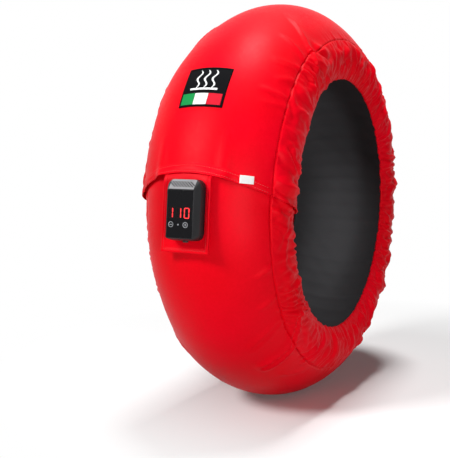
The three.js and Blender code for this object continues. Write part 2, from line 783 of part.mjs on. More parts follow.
function faceOutline(inset) {
  const width = FACE_WIDTH - 2 * inset;
  const height = FACE_HEIGHT - 2 * inset;
  const radius = Math.max(FACE_CORNER - inset, 0.5);
  return roundedOutline(width, height, radius, CASE_OFFSET, FACE_UP);
}

function screwHole(from, to, x, y) {
  return rod(SCREW_SHANK + SCREW_CLEARANCE, from, to, x, y);
}

function makePlate() {
  const width = CASE_WIDTH - 2 * PLATE_SIDE_INSET;
  const height = CASE_HEIGHT - 2 * PLATE_END_INSET;
  const outline = roundedOutline(width, height, CASE_CORNER, CASE_OFFSET, CASE_CENTRE_UP);
  const front = -PAD_THICKNESS - GAP;
  const plate = slab(outline, front - PLATE_THICKNESS, front);
  const holes = screwSpots.map(({ x, y }) => screwHole(front - RUN_PAST, front + SHORT_RUN, x, y));
  return cut(plate, leadRod(SCREW_CLEARANCE), ...holes);
}

function makeBackShell() {
  const shell = slab(caseOutline(0), CASE_BACK, SPLIT_DEPTH);
  const room = slab(caseOutline(CASE_WALL), CASE_BACK + CASE_WALL, SPLIT_DEPTH + SHORT_RUN);
  const post = SCREW_SHANK + SCREW_CLEARANCE + POST_WALL;
  const posts = screwSpots.map(({ x, y }) => rod(post, CASE_BACK + POST_ROOT, BOARD_DEPTH - GAP, x, y));
  const tunnels = screwSpots.map(({ x, y }) => screwHole(-RUN_PAST, SPLIT_DEPTH, x, y));
  return cut(join(cut(shell, room), ...posts), leadRod(SCREW_CLEARANCE), inletRod(GAP), ...tunnels);
}

function makeFrontShell() {
  const body = stackOutlines([
    { outline: caseOutline(0), depth: SPLIT_FRONT },
    { outline: caseOutline(0), depth: RIM_DEPTH },
    { outline: faceOutline(0), depth: CASE_DEPTH },
  ]);
  const room = stackOutlines([
    { outline: caseOutline(CASE_WALL), depth: SPLIT_FRONT - SHORT_RUN },
    { outline: caseOutline(CASE_WALL), depth: RIM_DEPTH },
    { outline: faceOutline(CASE_WALL), depth: CASE_DEPTH - CASE_WALL },
  ]);
  const post = SCREW_SHANK + SCREW_CLEARANCE + POST_WALL;
  const posts = screwSpots.map(({ x, y }) => rod(post, BOARD_FRONT + GAP, CASE_DEPTH, x, y));
  const columns = overlap(join(...posts), stackOutlines([
    { outline: caseOutline(CASE_WALL / 2), depth: BOARD_FRONT },
    { outline: caseOutline(CASE_WALL / 2), depth: RIM_DEPTH },
    { outline: faceOutline(CASE_WALL / 2), depth: CASE_DEPTH - CASE_WALL / 2 },
  ]));
  const pilot = RIM_DEPTH + PILOT_DEPTH;
  const tunnels = screwSpots.map(({ x, y }) => screwHole(BOARD_DEPTH, pilot, x, y));
  const pocketOutline = faceOutline(LENS_MARGIN - LENS_POCKET);
  const pocket = slab(pocketOutline, CASE_DEPTH - LENS_THICKNESS, CASE_DEPTH + SHORT_RUN);
  const window = displayBlock(GAP, CASE_DEPTH - CASE_WALL - SHORT_RUN, CASE_DEPTH);
  return cut(join(cut(body, room), columns), pocket, window, ...tunnels, ...ribGrooves());
}

// Grooves between the slanting ribs of the top slope
function ribGrooves() {
  const slopeFoot = FACE_UP + FACE_HEIGHT / 2;
  const slopeTop = CASE_CENTRE_UP + CASE_HEIGHT / 2;
  const rise = Math.atan2(CASE_DEPTH - RIM_DEPTH, slopeTop - slopeFoot);
  const pitch = FACE_WIDTH / RIB_COUNT;
  const reach = slopeTop - slopeFoot - 2 * RIB_END_MARGIN;
  const slope = new THREE.BoxGeometry(FACE_WIDTH - 2 * RIB_END_MARGIN, reach, 2 * RIB_DEPTH);
  const slant = degrees(RIB_SLANT);
  const width = pitch * Math.cos(slant) * (1 - RIB_SHARE);
  const length = (2 * reach) / Math.cos(slant);
  const grooves = [];
  for (let rib = 0; rib + 1 < RIB_COUNT; rib += 1) {
    const groove = new THREE.BoxGeometry(width, length, 3 * RIB_DEPTH).rotateZ(slant);
    groove.translate((rib - (RIB_COUNT - 2) / 2) * pitch, 0, 0);
    const kept = overlap(slope, groove);
    kept.rotateX(-rise);
    grooves.push(kept.translate(CASE_OFFSET, (slopeFoot + slopeTop) / 2, (CASE_DEPTH + RIM_DEPTH) / 2));
  }
  return grooves;
}

function makeGasket() {
  const from = SPLIT_DEPTH + GAP;
  const to = from + GASKET_THICKNESS;
  const ring = slab(caseOutline(GASKET_INSET), from, to);
  return cut(ring, slab(caseOutline(CASE_WALL), from - SHORT_RUN, to + SHORT_RUN));
}

function makeBoard() {
  const board = slab(caseOutline(CASE_WALL + BOARD_MARGIN), BOARD_DEPTH, BOARD_FRONT);
  const from = BOARD_DEPTH - SHORT_RUN;
  const to = BOARD_FRONT + SHORT_RUN;
  return cut(board, ...screwSpots.map(({ x, y }) => screwHole(from, to, x, y)));
}

const DIGITS_CENTRE = FACE_UP + DIGITS_UP;

function displayBlock(extra, from, to) {
  return block(DISPLAY_WIDTH + 2 * extra, DISPLAY_HEIGHT + 2 * extra, from, to, CASE_OFFSET, DIGITS_CENTRE);
}

// What is lit or printed on the face is a thin layer just in front of the lens
const PRINT_FROM = CASE_DEPTH + LIGHT_STANDOFF;
const PRINT_TO = PRINT_FROM + DIGIT_THICKNESS;

// A seven-segment nought is a ring of bars, and a one is its right-hand side
function makeDigit(figure, place) {
  const x = CASE_OFFSET + DIGITS_OFFSET + (place - 1) * DIGIT_PITCH;
  const side = (DIGIT_WIDTH - DIGIT_STROKE) / 2;
  if (figure === 1) {
    return block(DIGIT_STROKE, DIGIT_HEIGHT, PRINT_FROM, PRINT_TO, x + side, DIGITS_CENTRE);
  }
  const whole = block(DIGIT_WIDTH, DIGIT_HEIGHT, PRINT_FROM, PRINT_TO, x, DIGITS_CENTRE);
  const innerWidth = DIGIT_WIDTH - 2 * DIGIT_STROKE;
  const innerHeight = DIGIT_HEIGHT - 2 * DIGIT_STROKE;
  const hole = block(innerWidth, innerHeight, PRINT_FROM - SHORT_RUN, PRINT_TO + SHORT_RUN, x, DIGITS_CENTRE);
  return cut(whole, hole);
}

const KEYS_UP = FACE_UP - KEYS_DOWN;
const KEYS_CENTRE = CASE_OFFSET + DIGITS_OFFSET;

function keyCentre(side) {
  return KEYS_CENTRE + (side * KEY_SPREAD) / 2;
}

function makeKeyRing(side) {
  const x = keyCentre(side);
  const whole = rod(KEY_RADIUS, PRINT_FROM, PRINT_TO, x, KEYS_UP, RING_SIDES);
  const from = PRINT_FROM - SHORT_RUN;
  return cut(whole, rod(KEY_RADIUS - KEY_STROKE, from, PRINT_TO + SHORT_RUN, x, KEYS_UP, RING_SIDES));
}

function makeKeySign(side, upright) {
  const flat = block(KEY_RADIUS, KEY_STROKE, PRINT_FROM, PRINT_TO, keyCentre(side), KEYS_UP);
  if (!upright) {
    return flat;
  }
  return join(flat, block(KEY_STROKE, KEY_RADIUS, PRINT_FROM, PRINT_TO, keyCentre(side), KEYS_UP));
}

// Socket for the mains lead, in the case's lower end
const INLET_DEPTH = (CASE_BACK + SPLIT_DEPTH) / 2;

function inletRod(extra) {
  const foot = CASE_CENTRE_UP - CASE_HEIGHT / 2;
  const radius = INLET_RADIUS + extra;
  const past = extra > 0 ? SHORT_RUN : 0;
  const geometry = new THREE.CylinderGeometry(radius, radius, INLET_LENGTH + past, 16);
  const middle = foot + CASE_WALL + GAP - INLET_LENGTH / 2;
  return geometry.translate(CASE_OFFSET, middle, INLET_DEPTH);
}

function makeInlet() {
  const foot = CASE_CENTRE_UP - CASE_HEIGHT / 2;
  const low = foot + CASE_WALL + GAP - INLET_LENGTH;
  const radius = INLET_SOCKET_RADIUS;
  const socket = new THREE.CylinderGeometry(radius, radius, 2 * INLET_SOCKET_DEPTH, 12);
  return cut(inletRod(0), socket.translate(CASE_OFFSET, low, INLET_DEPTH));
}

function makeScrew({ x, y }) {
  const seat = -PAD_THICKNESS - PLATE_THICKNESS - 2 * GAP;
  const shank = rod(SCREW_SHANK, seat - SCREW_HEAD_HEIGHT / 2, RIM_DEPTH, x, y, 12);
  return join(rod(SCREW_HEAD, seat - SCREW_HEAD_HEIGHT, seat, x, y, 12), shank);
}

function makeLens() {
  return slab(faceOutline(LENS_MARGIN), CASE_DEPTH - LENS_THICKNESS + GAP, CASE_DEPTH);
}

function buildController() {
  const padHoles = screwSpots.map(({ x, y }) => inWorld(screwHole(-RUN_PAST, RUN_PAST, x, y)));
  addPiece(model, "controller_pad", cut(makePad(), leadTool(SCREW_CLEARANCE), ...padHoles), RED_CLOTH);
  addPiece(padFrame, "pad_backing_plate", makePlate(), BLACK_PLASTIC);
  addPiece(padFrame, "controller_back_shell", makeBackShell(), BLACK_PLASTIC);
  addPiece(padFrame, "controller_front_shell", makeFrontShell(), BLACK_PLASTIC);
  addPiece(padFrame, "case_gasket", makeGasket(), RUBBER);
  addPiece(padFrame, "circuit_board", makeBoard(), BOARD_GREEN);
  const moduleTop = CASE_DEPTH - LENS_THICKNESS;
  addPiece(padFrame, "display_module", displayBlock(0, BOARD_FRONT + GAP, moduleTop), RUBBER);
  addPiece(padFrame, "display_lens", makeLens(), GLOSS_BLACK);
  [1, 1, 0].forEach((figure, place) => {
    addPiece(padFrame, `display_digit_${place + 1}`, makeDigit(figure, place), RED_LIGHT);
  });
  addPiece(padFrame, "key_down_ring", makeKeyRing(-1), GREY_MARK);
  addPiece(padFrame, "key_down_sign", makeKeySign(-1, false), GREY_MARK);
  addPiece(padFrame, "key_up_ring", makeKeyRing(1), GREY_MARK);
  addPiece(padFrame, "key_up_sign", makeKeySign(1, true), GREY_MARK);
  const light = rod(STATUS_RADIUS, PRINT_FROM, PRINT_TO, KEYS_CENTRE, KEYS_UP);
  addPiece(padFrame, "status_light", light, GREY_MARK);
  addPiece(padFrame, "power_inlet", makeInlet(), RUBBER);
  addPiece(padFrame, "heater_lead", leadRod(0), RUBBER);
  screwSpots.forEach((spot, place) => addPiece(padFrame, `case_screw_${place + 1}`, makeScrew(spot), STEEL));
  model.add(padFrame);
}

buildCloth();
buildClosure();
buildBadge();
buildLabel();
buildController();

export default model;
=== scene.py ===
"""Motorcycle tire warmer: the look of the heated cover, its skirts, pad and controller.

Shapes are worked out in millimetres and scaled to metres when a mesh is made. The origin is the
wheel's centre, X is the axle and the front of the tread faces -Y. "Turned" is the angle gone
round the wheel from the strip's lower end, in degrees.
"""
import math

import bmesh
import bpy
import numpy as np
from mathutils import Matrix, Vector


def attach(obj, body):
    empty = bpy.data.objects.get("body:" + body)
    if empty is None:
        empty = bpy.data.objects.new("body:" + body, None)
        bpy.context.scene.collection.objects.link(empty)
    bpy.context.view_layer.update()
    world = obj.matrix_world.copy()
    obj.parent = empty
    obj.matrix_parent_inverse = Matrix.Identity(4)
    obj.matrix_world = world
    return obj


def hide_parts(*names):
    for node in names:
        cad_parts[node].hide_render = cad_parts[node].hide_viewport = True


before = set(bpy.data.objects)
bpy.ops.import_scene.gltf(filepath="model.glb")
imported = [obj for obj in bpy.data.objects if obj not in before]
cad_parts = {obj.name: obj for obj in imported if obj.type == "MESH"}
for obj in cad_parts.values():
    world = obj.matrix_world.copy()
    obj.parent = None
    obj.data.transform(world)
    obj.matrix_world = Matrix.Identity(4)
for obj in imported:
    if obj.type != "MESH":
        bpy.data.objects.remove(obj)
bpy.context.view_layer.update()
MM = 0.001

# Cloth section, as in the part's source
CROWN_RADIUS = 333.5
TREAD_ARC = 125
SEAM_HALF_WIDTH = 104
HEM_HALF_WIDTH = 108
HEM_RADIUS = 208.7
SKIRT_FULLNESS = 20
SKIRT_SHOULDER_DROP = 23
SEAM_BEND = math.asin(SEAM_HALF_WIDTH / TREAD_ARC)
CLOTH = 1.2
LINING_DEPTH = 8.8
LINING_THICKNESS = 1.2

# Overlap at the front
LOWER_END_ANGLE = 26
FLAP_CROWN_ANGLE = 11
FLAP_SEAM_ANGLE = 6.5
FLAP_HEM_ANGLE = 0
OVERLAP_LIFT = 5
LIFT_FROM = LOWER_END_ANGLE + 360 - 75
LIFT_TO = LOWER_END_ANGLE + 360 - 36
FLAP_SPREAD_FROM = 340

# Hem and elastic
HEM_FOLD = 14
HEM_CHANNEL = 2.2
ELASTIC_WIDTH = 8
ELASTIC_THICKNESS = 1

# Steps of the cloth meshes
TREAD_STEP = 0.62
TREAD_EDGE_STEP = 0.15
TREAD_COLUMNS = 58
SKIRT_STEP = 0.4

# Pad and the plane of the controller
PAD_OFFSET = 0.5
PAD_FRONT = 339
PAD_TILT = 5.2
PAD_CENTRE_Z = 7
PAD_WIDTH = 77
PAD_FOOT_Z = -49
PAD_TOP_Z = 77
PAD_STITCH_TOP = 58
PAD_STITCH_INSET = 4.2
PAD_THICKNESS = 1.2
PAD_HEM = 5.5

# Case and its marks, in the pad's plane
CASE_OFFSET = 4.5
CASE_DEPTH = 24
FACE_UP = -0.55
PRINT_FROM = 24.3
PRINT_THICKNESS = 0.4


def rng(seed):
    return np.random.default_rng(seed)


def smoothstep(value, low, high):
    share = np.clip((np.asarray(value, float) - low) / (high - low), 0, 1)
    return share * share * (3 - 2 * share)


def lerp(low, high, share):
    return low + (high - low) * share


def centred(angle):
    return (angle + 180) % 360 - 180


# Meshes

def new_object(name, points, faces, scale=MM, smooth=True):
    mesh = bpy.data.meshes.new(name)
    mesh.from_pydata((np.asarray(points) * scale).tolist(), [], faces)
    mesh.validate()
    mesh.update()
    mesh.polygons.foreach_set("use_smooth", [smooth] * len(mesh.polygons))
    obj = bpy.data.objects.new(name, mesh)
    bpy.context.scene.collection.objects.link(obj)
    return obj


def facing_out(obj):
    """Turns every face round if the closed mesh has its faces pointing in."""
    made = bmesh.new()
    made.from_mesh(obj.data)
    if made.calc_volume(signed=True) < 0:
        bmesh.ops.reverse_faces(made, faces=made.faces)
    made.to_mesh(obj.data)
    made.free()
    return obj


def wall_faces(rows, count):
    """The quads between a row of closed loops."""
    here = np.arange(count)
    after = (here + 1) % count
    faces = []
    for row in range(rows - 1):
        base = row * count
        quad = np.stack([base + here, base + after, base + count + after, base + count + here], 1)
        faces.extend(quad.tolist())
    return faces


def loft(name, loops, flat=None):
    """A closed solid through a row of loops; flat holds the cloth's own coordinates, in mm."""
    rows, count = loops.shape[:2]
    faces = wall_faces(rows, count)
    first = list(range(count))
    last = [(rows - 1) * count + k for k in range(count)]
    faces.extend(cap_faces(loops[0], first, True))
    faces.extend(cap_faces(loops[-1], last, False))
    obj = facing_out(new_object(name, loops.reshape(-1, 3), faces))
    if flat is not None:
        add_uv(obj, flat.reshape(-1, 2) * MM)
    return obj


def cap_faces(loop, index, turned):
    """The cap of a strip of cloth: quads between its outer and its inner edge."""
    half = len(index) // 2
    faces = []
    for k in range(half - 1):
        other = len(index) - 1 - k
        face = [index[k], index[k + 1], index[other - 1], index[other]]
        faces.append(face[::-1] if turned else face)
    return faces


def add_uv(obj, coordinates):
    layer = obj.data.uv_layers.new(name="cloth")
    corners = np.empty(len(obj.data.loops), int)
    obj.data.loops.foreach_get("vertex_index", corners)
    layer.data.foreach_set("uv", coordinates[corners].ravel())


def there_and_back(outer, inner):
    """Loops that run over the outer side and back over the inner one."""
    return np.concatenate([outer, inner[:, ::-1]], 1)


def finish_piece(obj, look, slot, *nodes):
    """Gives a piece its material and its body, and hides the CAD nodes that it stands for."""
    obj.data.materials.clear()
    for one in look if isinstance(look, (list, tuple)) else [look]:
        obj.data.materials.append(one)
    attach(obj, "root")
    if nodes:
        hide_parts(*nodes)
    return obj


# Node materials

def nodes_of(material):
    material.use_nodes = True
    tree = material.node_tree
    return tree, tree.nodes["Principled BSDF"]


def add_node(tree, kind, **settings):
    node = tree.nodes.new(kind)
    for name, value in settings.items():
        if name in node.inputs:
            node.inputs[name].default_value = value
        else:
            setattr(node, name, value)
    return node


def noise_node(tree, vector, scale, detail=3.0, rough=0.5):
    node = add_node(tree, "ShaderNodeTexNoise", Scale=scale, Detail=detail, Roughness=rough)
    tree.links.new(vector, node.inputs["Vector"])
    return node.outputs["Fac"]


def ranged(tree, value, low, high, to_low, to_high):
    node = add_node(tree, "ShaderNodeMapRange")
    for name, number in (("From Min", low), ("From Max", high), ("To Min", to_low), ("To Max", to_high)):
        node.inputs[name].default_value = number
    tree.links.new(value, node.inputs["Value"])
    return node.outputs["Result"]


def maths(tree, operation, a, b):
    node = add_node(tree, "ShaderNodeMath", operation=operation)
    for socket, value in zip(node.inputs, (a, b)):
        if isinstance(value, (int, float)):
            socket.default_value = value
        else:
            tree.links.new(value, socket)
    return node.outputs["Value"]


def colour_between(tree, share, low, high):
    node = add_node(tree, "ShaderNodeMix", data_type="RGBA")
    tree.links.new(share, node.inputs[0])
    node.inputs[6].default_value = (*low, 1)
    node.inputs[7].default_value = (*high, 1)
    return node.outputs[2]


def bump(tree, height, distance, strength=1.0, normal=None):
    node = add_node(tree, "ShaderNodeBump", Strength=strength, Distance=distance)
    tree.links.new(height, node.inputs["Height"])
    if normal is not None:
        tree.links.new(normal, node.inputs["Normal"])
    return node.outputs["Normal"]


# How many units of a wave texture make one full turn of its wave
WAVE_UNITS = 20


def weave_height(tree, vector, pitch):
    """Plain weave: threads of one pitch that go over and under each other."""
    waves = []
    for direction in ("X", "Y"):
        node = add_node(tree, "ShaderNodeTexWave", bands_direction=direction)
        node.inputs["Scale"].default_value = 2 * math.pi / (WAVE_UNITS * pitch)
        tree.links.new(vector, node.inputs["Vector"])
        waves.append(node.outputs["Fac"])
    return maths(tree, "MULTIPLY", *waves)


# Scales of the noise in the materials, per metre, and the depth of a cloth's small rumples
CLOTH_BROAD = 7
CLOTH_FINE = 240
CLOTH_RUMPLE = 38
RUMPLE_DEPTH = 0.0007
HARD_BROAD = 30
HARD_GRAIN = 900


def cloth_material(name, low, high, pitch, roughness, sheen=0.2, specular=0.5, thread=0.00004):
    material = bpy.data.materials.new(name)
    tree, shader = nodes_of(material)
    spot = add_node(tree, "ShaderNodeTexCoord")
    uv, place = spot.outputs["UV"], spot.outputs["Object"]
    broad = noise_node(tree, place, CLOTH_BROAD, 2)
    fine = noise_node(tree, place, CLOTH_FINE, 4)
    share = maths(tree, "ADD", maths(tree, "MULTIPLY", broad, 0.7), maths(tree, "MULTIPLY", fine, 0.3))
    colour = colour_between(tree, ranged(tree, share, 0.35, 0.65, 0, 1), low, high)
    tree.links.new(colour, shader.inputs["Base Color"])
    rough = ranged(tree, fine, 0.3, 0.7, roughness - 0.05, roughness + 0.05)
    tree.links.new(rough, shader.inputs["Roughness"])
    rumples = bump(tree, noise_node(tree, place, CLOTH_RUMPLE, 3), RUMPLE_DEPTH, 0.55)
    tree.links.new(bump(tree, weave_height(tree, uv, pitch), thread, 0.6, rumples), shader.inputs["Normal"])
    shader.inputs["Sheen Weight"].default_value = sheen
    shader.inputs["Sheen Roughness"].default_value = 0.45
    shader.inputs["Sheen Tint"].default_value = (1, 1, 1, 1)
    shader.inputs["Specular IOR Level"].default_value = specular
    return material


def hard_material(name, low, high, roughness, depth=0.00002, metallic=0.0, specular=0.5):
    material = bpy.data.materials.new(name)
    tree, shader = nodes_of(material)
    place = add_node(tree, "ShaderNodeTexCoord").outputs["Object"]
    broad = noise_node(tree, place, HARD_BROAD, 3)
    fine = noise_node(tree, place, HARD_GRAIN, 3)
    colour = colour_between(tree, ranged(tree, broad, 0.3, 0.7, 0, 1), low, high)
    tree.links.new(colour, shader.inputs["Base Color"])
    rough = ranged(tree, broad, 0.3, 0.7, roughness - 0.03, roughness + 0.03)
    tree.links.new(rough, shader.inputs["Roughness"])
    tree.links.new(bump(tree, fine, depth, 0.6), shader.inputs["Normal"])
    shader.inputs["Metallic"].default_value = metallic
    shader.inputs["Specular IOR Level"].default_value = specular
    return material


def light_material(name, colour, strength):
    material = bpy.data.materials.new(name)
    tree, shader = nodes_of(material)
    place = add_node(tree, "ShaderNodeTexCoord").outputs["Object"]
    level = ranged(tree, noise_node(tree, place, 300, 1), 0.3, 0.7, 0.9 * strength, 1.1 * strength)
    shader.inputs["Base Color"].default_value = (*colour, 1)
    shader.inputs["Emission Color"].default_value = (*colour, 1)
    tree.links.new(level, shader.inputs["Emission Strength"])
    shader.inputs["Roughness"].default_value = 0.4
    return material


RED = cloth_material(
    "red_nylon_cloth", (0.74, 0.0, 0.006), (0.84, 0.0, 0.012), 0.0006, 0.44, 0.0, specular=0.06)
RED_THREAD = cloth_material("red_thread", (0.62, 0.002, 0.01), (0.72, 0.004, 0.014), 0.0004, 0.5)
LINING = cloth_material("dark_lining_cloth", (0.014, 0.014, 0.016), (0.028, 0.028, 0.031), 0.0009, 0.8, 0.1)
TAPE = cloth_material("white_tape_cloth", (0.74, 0.73, 0.71), (0.84, 0.83, 0.81), 0.0006, 0.75, 0.1)
WADDING = cloth_material("wadding_fleece", (0.6, 0.55, 0.42), (0.75, 0.7, 0.56), 0.0015, 0.9, 0.2)
BLACK_WEAVE = cloth_material(
    "black_patch_weave", (0.002, 0.002, 0.0025), (0.006, 0.006, 0.007), 0.0007, 0.8, 0.0, specular=0.04)
GREEN_WEAVE = cloth_material(
    "green_field_weave", (0.004, 0.2, 0.045), (0.008, 0.27, 0.065), 0.0007, 0.6, 0.0, specular=0.1)
WHITE_WEAVE = cloth_material("white_field_weave", (0.72, 0.72, 0.72), (0.84, 0.84, 0.84), 0.0007, 0.6, 0.05)
RED_WEAVE = cloth_material(
    "red_field_weave", (0.56, 0.006, 0.02), (0.66, 0.009, 0.03), 0.0007, 0.6, 0.0, specular=0.1)
HOOK_TAPE = cloth_material(
    "hook_tape", (0.01, 0.01, 0.011), (0.02, 0.02, 0.022), 0.002, 0.85, 0.1, thread=0.0004)
CASE_BLACK = hard_material("case_black", (0.004, 0.004, 0.005), (0.007, 0.007, 0.009), 0.4, specular=0.28)
# Rib tops: a grey painted highlight on the case's black plastic
RIB_TOP_HIGHLIGHT = hard_material("rib_top_highlight", (0.2, 0.2, 0.21), (0.26, 0.26, 0.27), 0.45)
WINDOW = hard_material(
    "window_gloss", (0.002, 0.002, 0.003), (0.004, 0.004, 0.005), 0.12, depth=0.000003, specular=0.12)
MARK_GREY = hard_material("mark_grey", (0.25, 0.26, 0.28), (0.32, 0.33, 0.35), 0.5)
RUBBER = hard_material("rubber_black", (0.009, 0.009, 0.009), (0.016, 0.016, 0.016), 0.7)
BOARD = hard_material("board_green", (0.012, 0.16, 0.05), (0.02, 0.22, 0.08), 0.45)
STEEL = hard_material("screw_steel", (0.5, 0.5, 0.52), (0.62, 0.62, 0.64), 0.3, metallic=1.0)
COPPER = hard_material("heating_tape_metal", (0.5, 0.25, 0.12), (0.62, 0.32, 0.17), 0.45, metallic=1.0)
LIT = light_material("digit_light", (0.9, 0.022, 0.025), 0.95)
UNLIT = hard_material("digit_unlit", (0.008, 0.002, 0.002), (0.012, 0.002, 0.002), 0.3, specular=0.1)


# The cloth's surface round the wheel

def round_wheel(x, radius, angle):
    turn = np.radians(angle)
    return np.stack(np.broadcast_arrays(x, -radius * np.cos(turn), radius * np.sin(turn)), -1)


def lift_at(turned):
    return OVERLAP_LIFT * smoothstep(turned, LIFT_FROM, LIFT_TO)


def bezier(points, share):
    a, b, c, d = (np.array(point, float) for point in points)
    t = np.asarray(share)[..., None]
    spot = a * (1 - t) ** 3 + 3 * b * (1 - t) ** 2 * t + 3 * c * (1 - t) * t ** 2 + d * t ** 3
    way = 3 * (b - a) * (1 - t) ** 2 + 6 * (c - b) * (1 - t) * t + 3 * (d - c) * t ** 2
    return spot, way / np.linalg.norm(way, axis=-1, keepdims=True)


# The section's length runs from the crown over the seam line and down the skirt to its hem
SEAM_LENGTH = SEAM_BEND * TREAD_ARC
SEAM_SPOT = (SEAM_HALF_WIDTH, CROWN_RADIUS - TREAD_ARC + TREAD_ARC * math.cos(SEAM_BEND))
SKIRT_POINTS = (
    SEAM_SPOT,
    (SEAM_HALF_WIDTH + SKIRT_FULLNESS, SEAM_SPOT[1] - SKIRT_SHOULDER_DROP),
    (SEAM_HALF_WIDTH + SKIRT_FULLNESS, HEM_RADIUS + SKIRT_SHOULDER_DROP),
    (HEM_HALF_WIDTH, HEM_RADIUS),
)
CURVE_STEPS = np.linspace(0, 1, 400)
CURVE_SPOTS, _ = bezier(SKIRT_POINTS, CURVE_STEPS)
CURVE_LENGTHS = np.concatenate([[0], np.cumsum(np.linalg.norm(np.diff(CURVE_SPOTS, axis=0), axis=1))])
SKIRT_LENGTH = CURVE_LENGTHS[-1]
LIFT_BLEND = 0.3 * SKIRT_LENGTH


def section(length):
    """Point, outward way and lifting way of the section, for a length from the crown."""
    far = np.abs(length)
    bend = np.minimum(far, SEAM_LENGTH) / TREAD_ARC
    arc_out = np.stack([np.sin(bend), np.cos(bend)], -1)
    arc_spot = arc_out * TREAD_ARC + np.array([0, CROWN_RADIUS - TREAD_ARC])
    past = np.clip(far - SEAM_LENGTH, 0, SKIRT_LENGTH)
    spot, way = bezier(SKIRT_POINTS, np.interp(past, CURVE_LENGTHS, CURVE_STEPS))
    skirt_out = np.stack([-way[..., 1], way[..., 0]], -1)
    beyond = (far > SEAM_LENGTH)[..., None]
    soft = smoothstep(far - SEAM_LENGTH, -6, 10)[..., None]
    out = arc_out * (1 - soft) + skirt_out * soft
    out /= np.linalg.norm(out, axis=-1, keepdims=True)
    share = np.clip(past / LIFT_BLEND, 0, 1)[..., None]
    lift_way = arc_out * (1 - share) + skirt_out * share
    lift_way /= np.linalg.norm(lift_way, axis=-1, keepdims=True)
    return np.where(beyond, spot, arc_spot), out, lift_way


def cloth_spot(turned, length, height):
    """A point at a height over the plain cloth, at a turn and a signed length from the crown."""
    spot, out, lift_way = section(length)
    flat = spot + out * np.asarray(height, float)[..., None] + lift_way * lift_at(turned)[..., None]
    side = np.where(np.asarray(length) < 0, -1, 1)
    return round_wheel(side * flat[..., 0], flat[..., 1], LOWER_END_ANGLE - turned)


def tread_spot(turned, bend, height):
    turned, bend, height = np.broadcast_arrays(np.asarray(turned, float), bend, height)
    return cloth_spot(turned, bend * TREAD_ARC, height)


def flap_turn(x):
    angle = lerp(FLAP_CROWN_ANGLE, FLAP_SEAM_ANGLE, (x / SEAM_HALF_WIDTH) ** 2)
    return LOWER_END_ANGLE + 360 - angle


def tread_turn(turned, length):
    """Spreads the last stretch out to the flap's slanting edge."""
    crown_edge = flap_turn(0.0)
    share = np.clip((turned - FLAP_SPREAD_FROM) / (crown_edge - FLAP_SPREAD_FROM), 0, 1)
    edge = flap_turn(TREAD_ARC * np.sin(np.minimum(np.abs(length), SEAM_LENGTH) / TREAD_ARC))
    return np.where(share > 0, lerp(FLAP_SPREAD_FROM, edge, share), turned)


# The right seam runs lower on the skirt beyond the fold near the top
JOG_LENGTH = 7.3
JOG_ANGLES = (60.2, 61.6, 118, 150)


def seam_jog(turned, side):
    angle = centred(LOWER_END_ANGLE - turned)
    near, full, fading, gone = JOG_ANGLES
    return JOG_LENGTH * smoothstep(angle, near, full) * (1 - smoothstep(angle, fading, gone)) * (side > 0)


LATTICE_ROWS = 64


def lattice_noise(u, v, period, seed):
    """Gradient noise, about -1 to 1, that repeats along u after the period."""
    draw = rng(seed)
    rows = LATTICE_ROWS
    turn = draw.uniform(0, 2 * np.pi, (int(period), rows))
    grad_u, grad_v = np.cos(turn), np.sin(turn)
    cell_u, cell_v = np.floor(u).astype(int), np.floor(v).astype(int)
    part_u, part_v = u - cell_u, v - cell_v
    ease_u = part_u ** 3 * (part_u * (part_u * 6 - 15) + 10)
    ease_v = part_v ** 3 * (part_v * (part_v * 6 - 15) + 10)

    def corner(step_u, step_v):
        a, b = (cell_u + step_u) % int(period), (cell_v + step_v) % rows
        return grad_u[a, b] * (part_u - step_u) + grad_v[a, b] * (part_v - step_v)

    low = lerp(corner(0, 0), corner(1, 0), ease_u)
    high = lerp(corner(0, 1), corner(1, 1), ease_u)
    return 1.5 * lerp(low, high, ease_v)


def billow(u, v, period, seed):
    """Rounded lobes between sharp furrows, about -0.3 to 0.6."""
    return np.sqrt(lattice_noise(u, v, period, seed) ** 2 + 0.003) - 0.28


def ridged(u, v, period, seed):
    """Wide hollows between sharp crests, about -0.4 to 0.6."""
    return 0.4 - np.abs(lattice_noise(u, v, period, seed))


# Gathers: how many of each kind go round the wheel, and how far each stands out, in mm
GATHERS = 92
CROSS_FOLDS = 84
SMALL_FOLDS = 168
HEM_FOLDS = 190
HEM_SCALLOPS = 210
DRIFTS = 46
GATHER_RISE = 11.0
CROSS_RISE = 4.0
SMALL_RISE = 0.9
HEM_RISE = 3.4
SCALLOP_DROP = 1.6
LEFT_SHARE = 0.7
# The gathers lean most at the front, at one angle from level, and least at the top
FRONT_SLANT = (1.4, -32, 44)
ROUND_SLANT = 0.8
TOP_CALM = (84, 36)


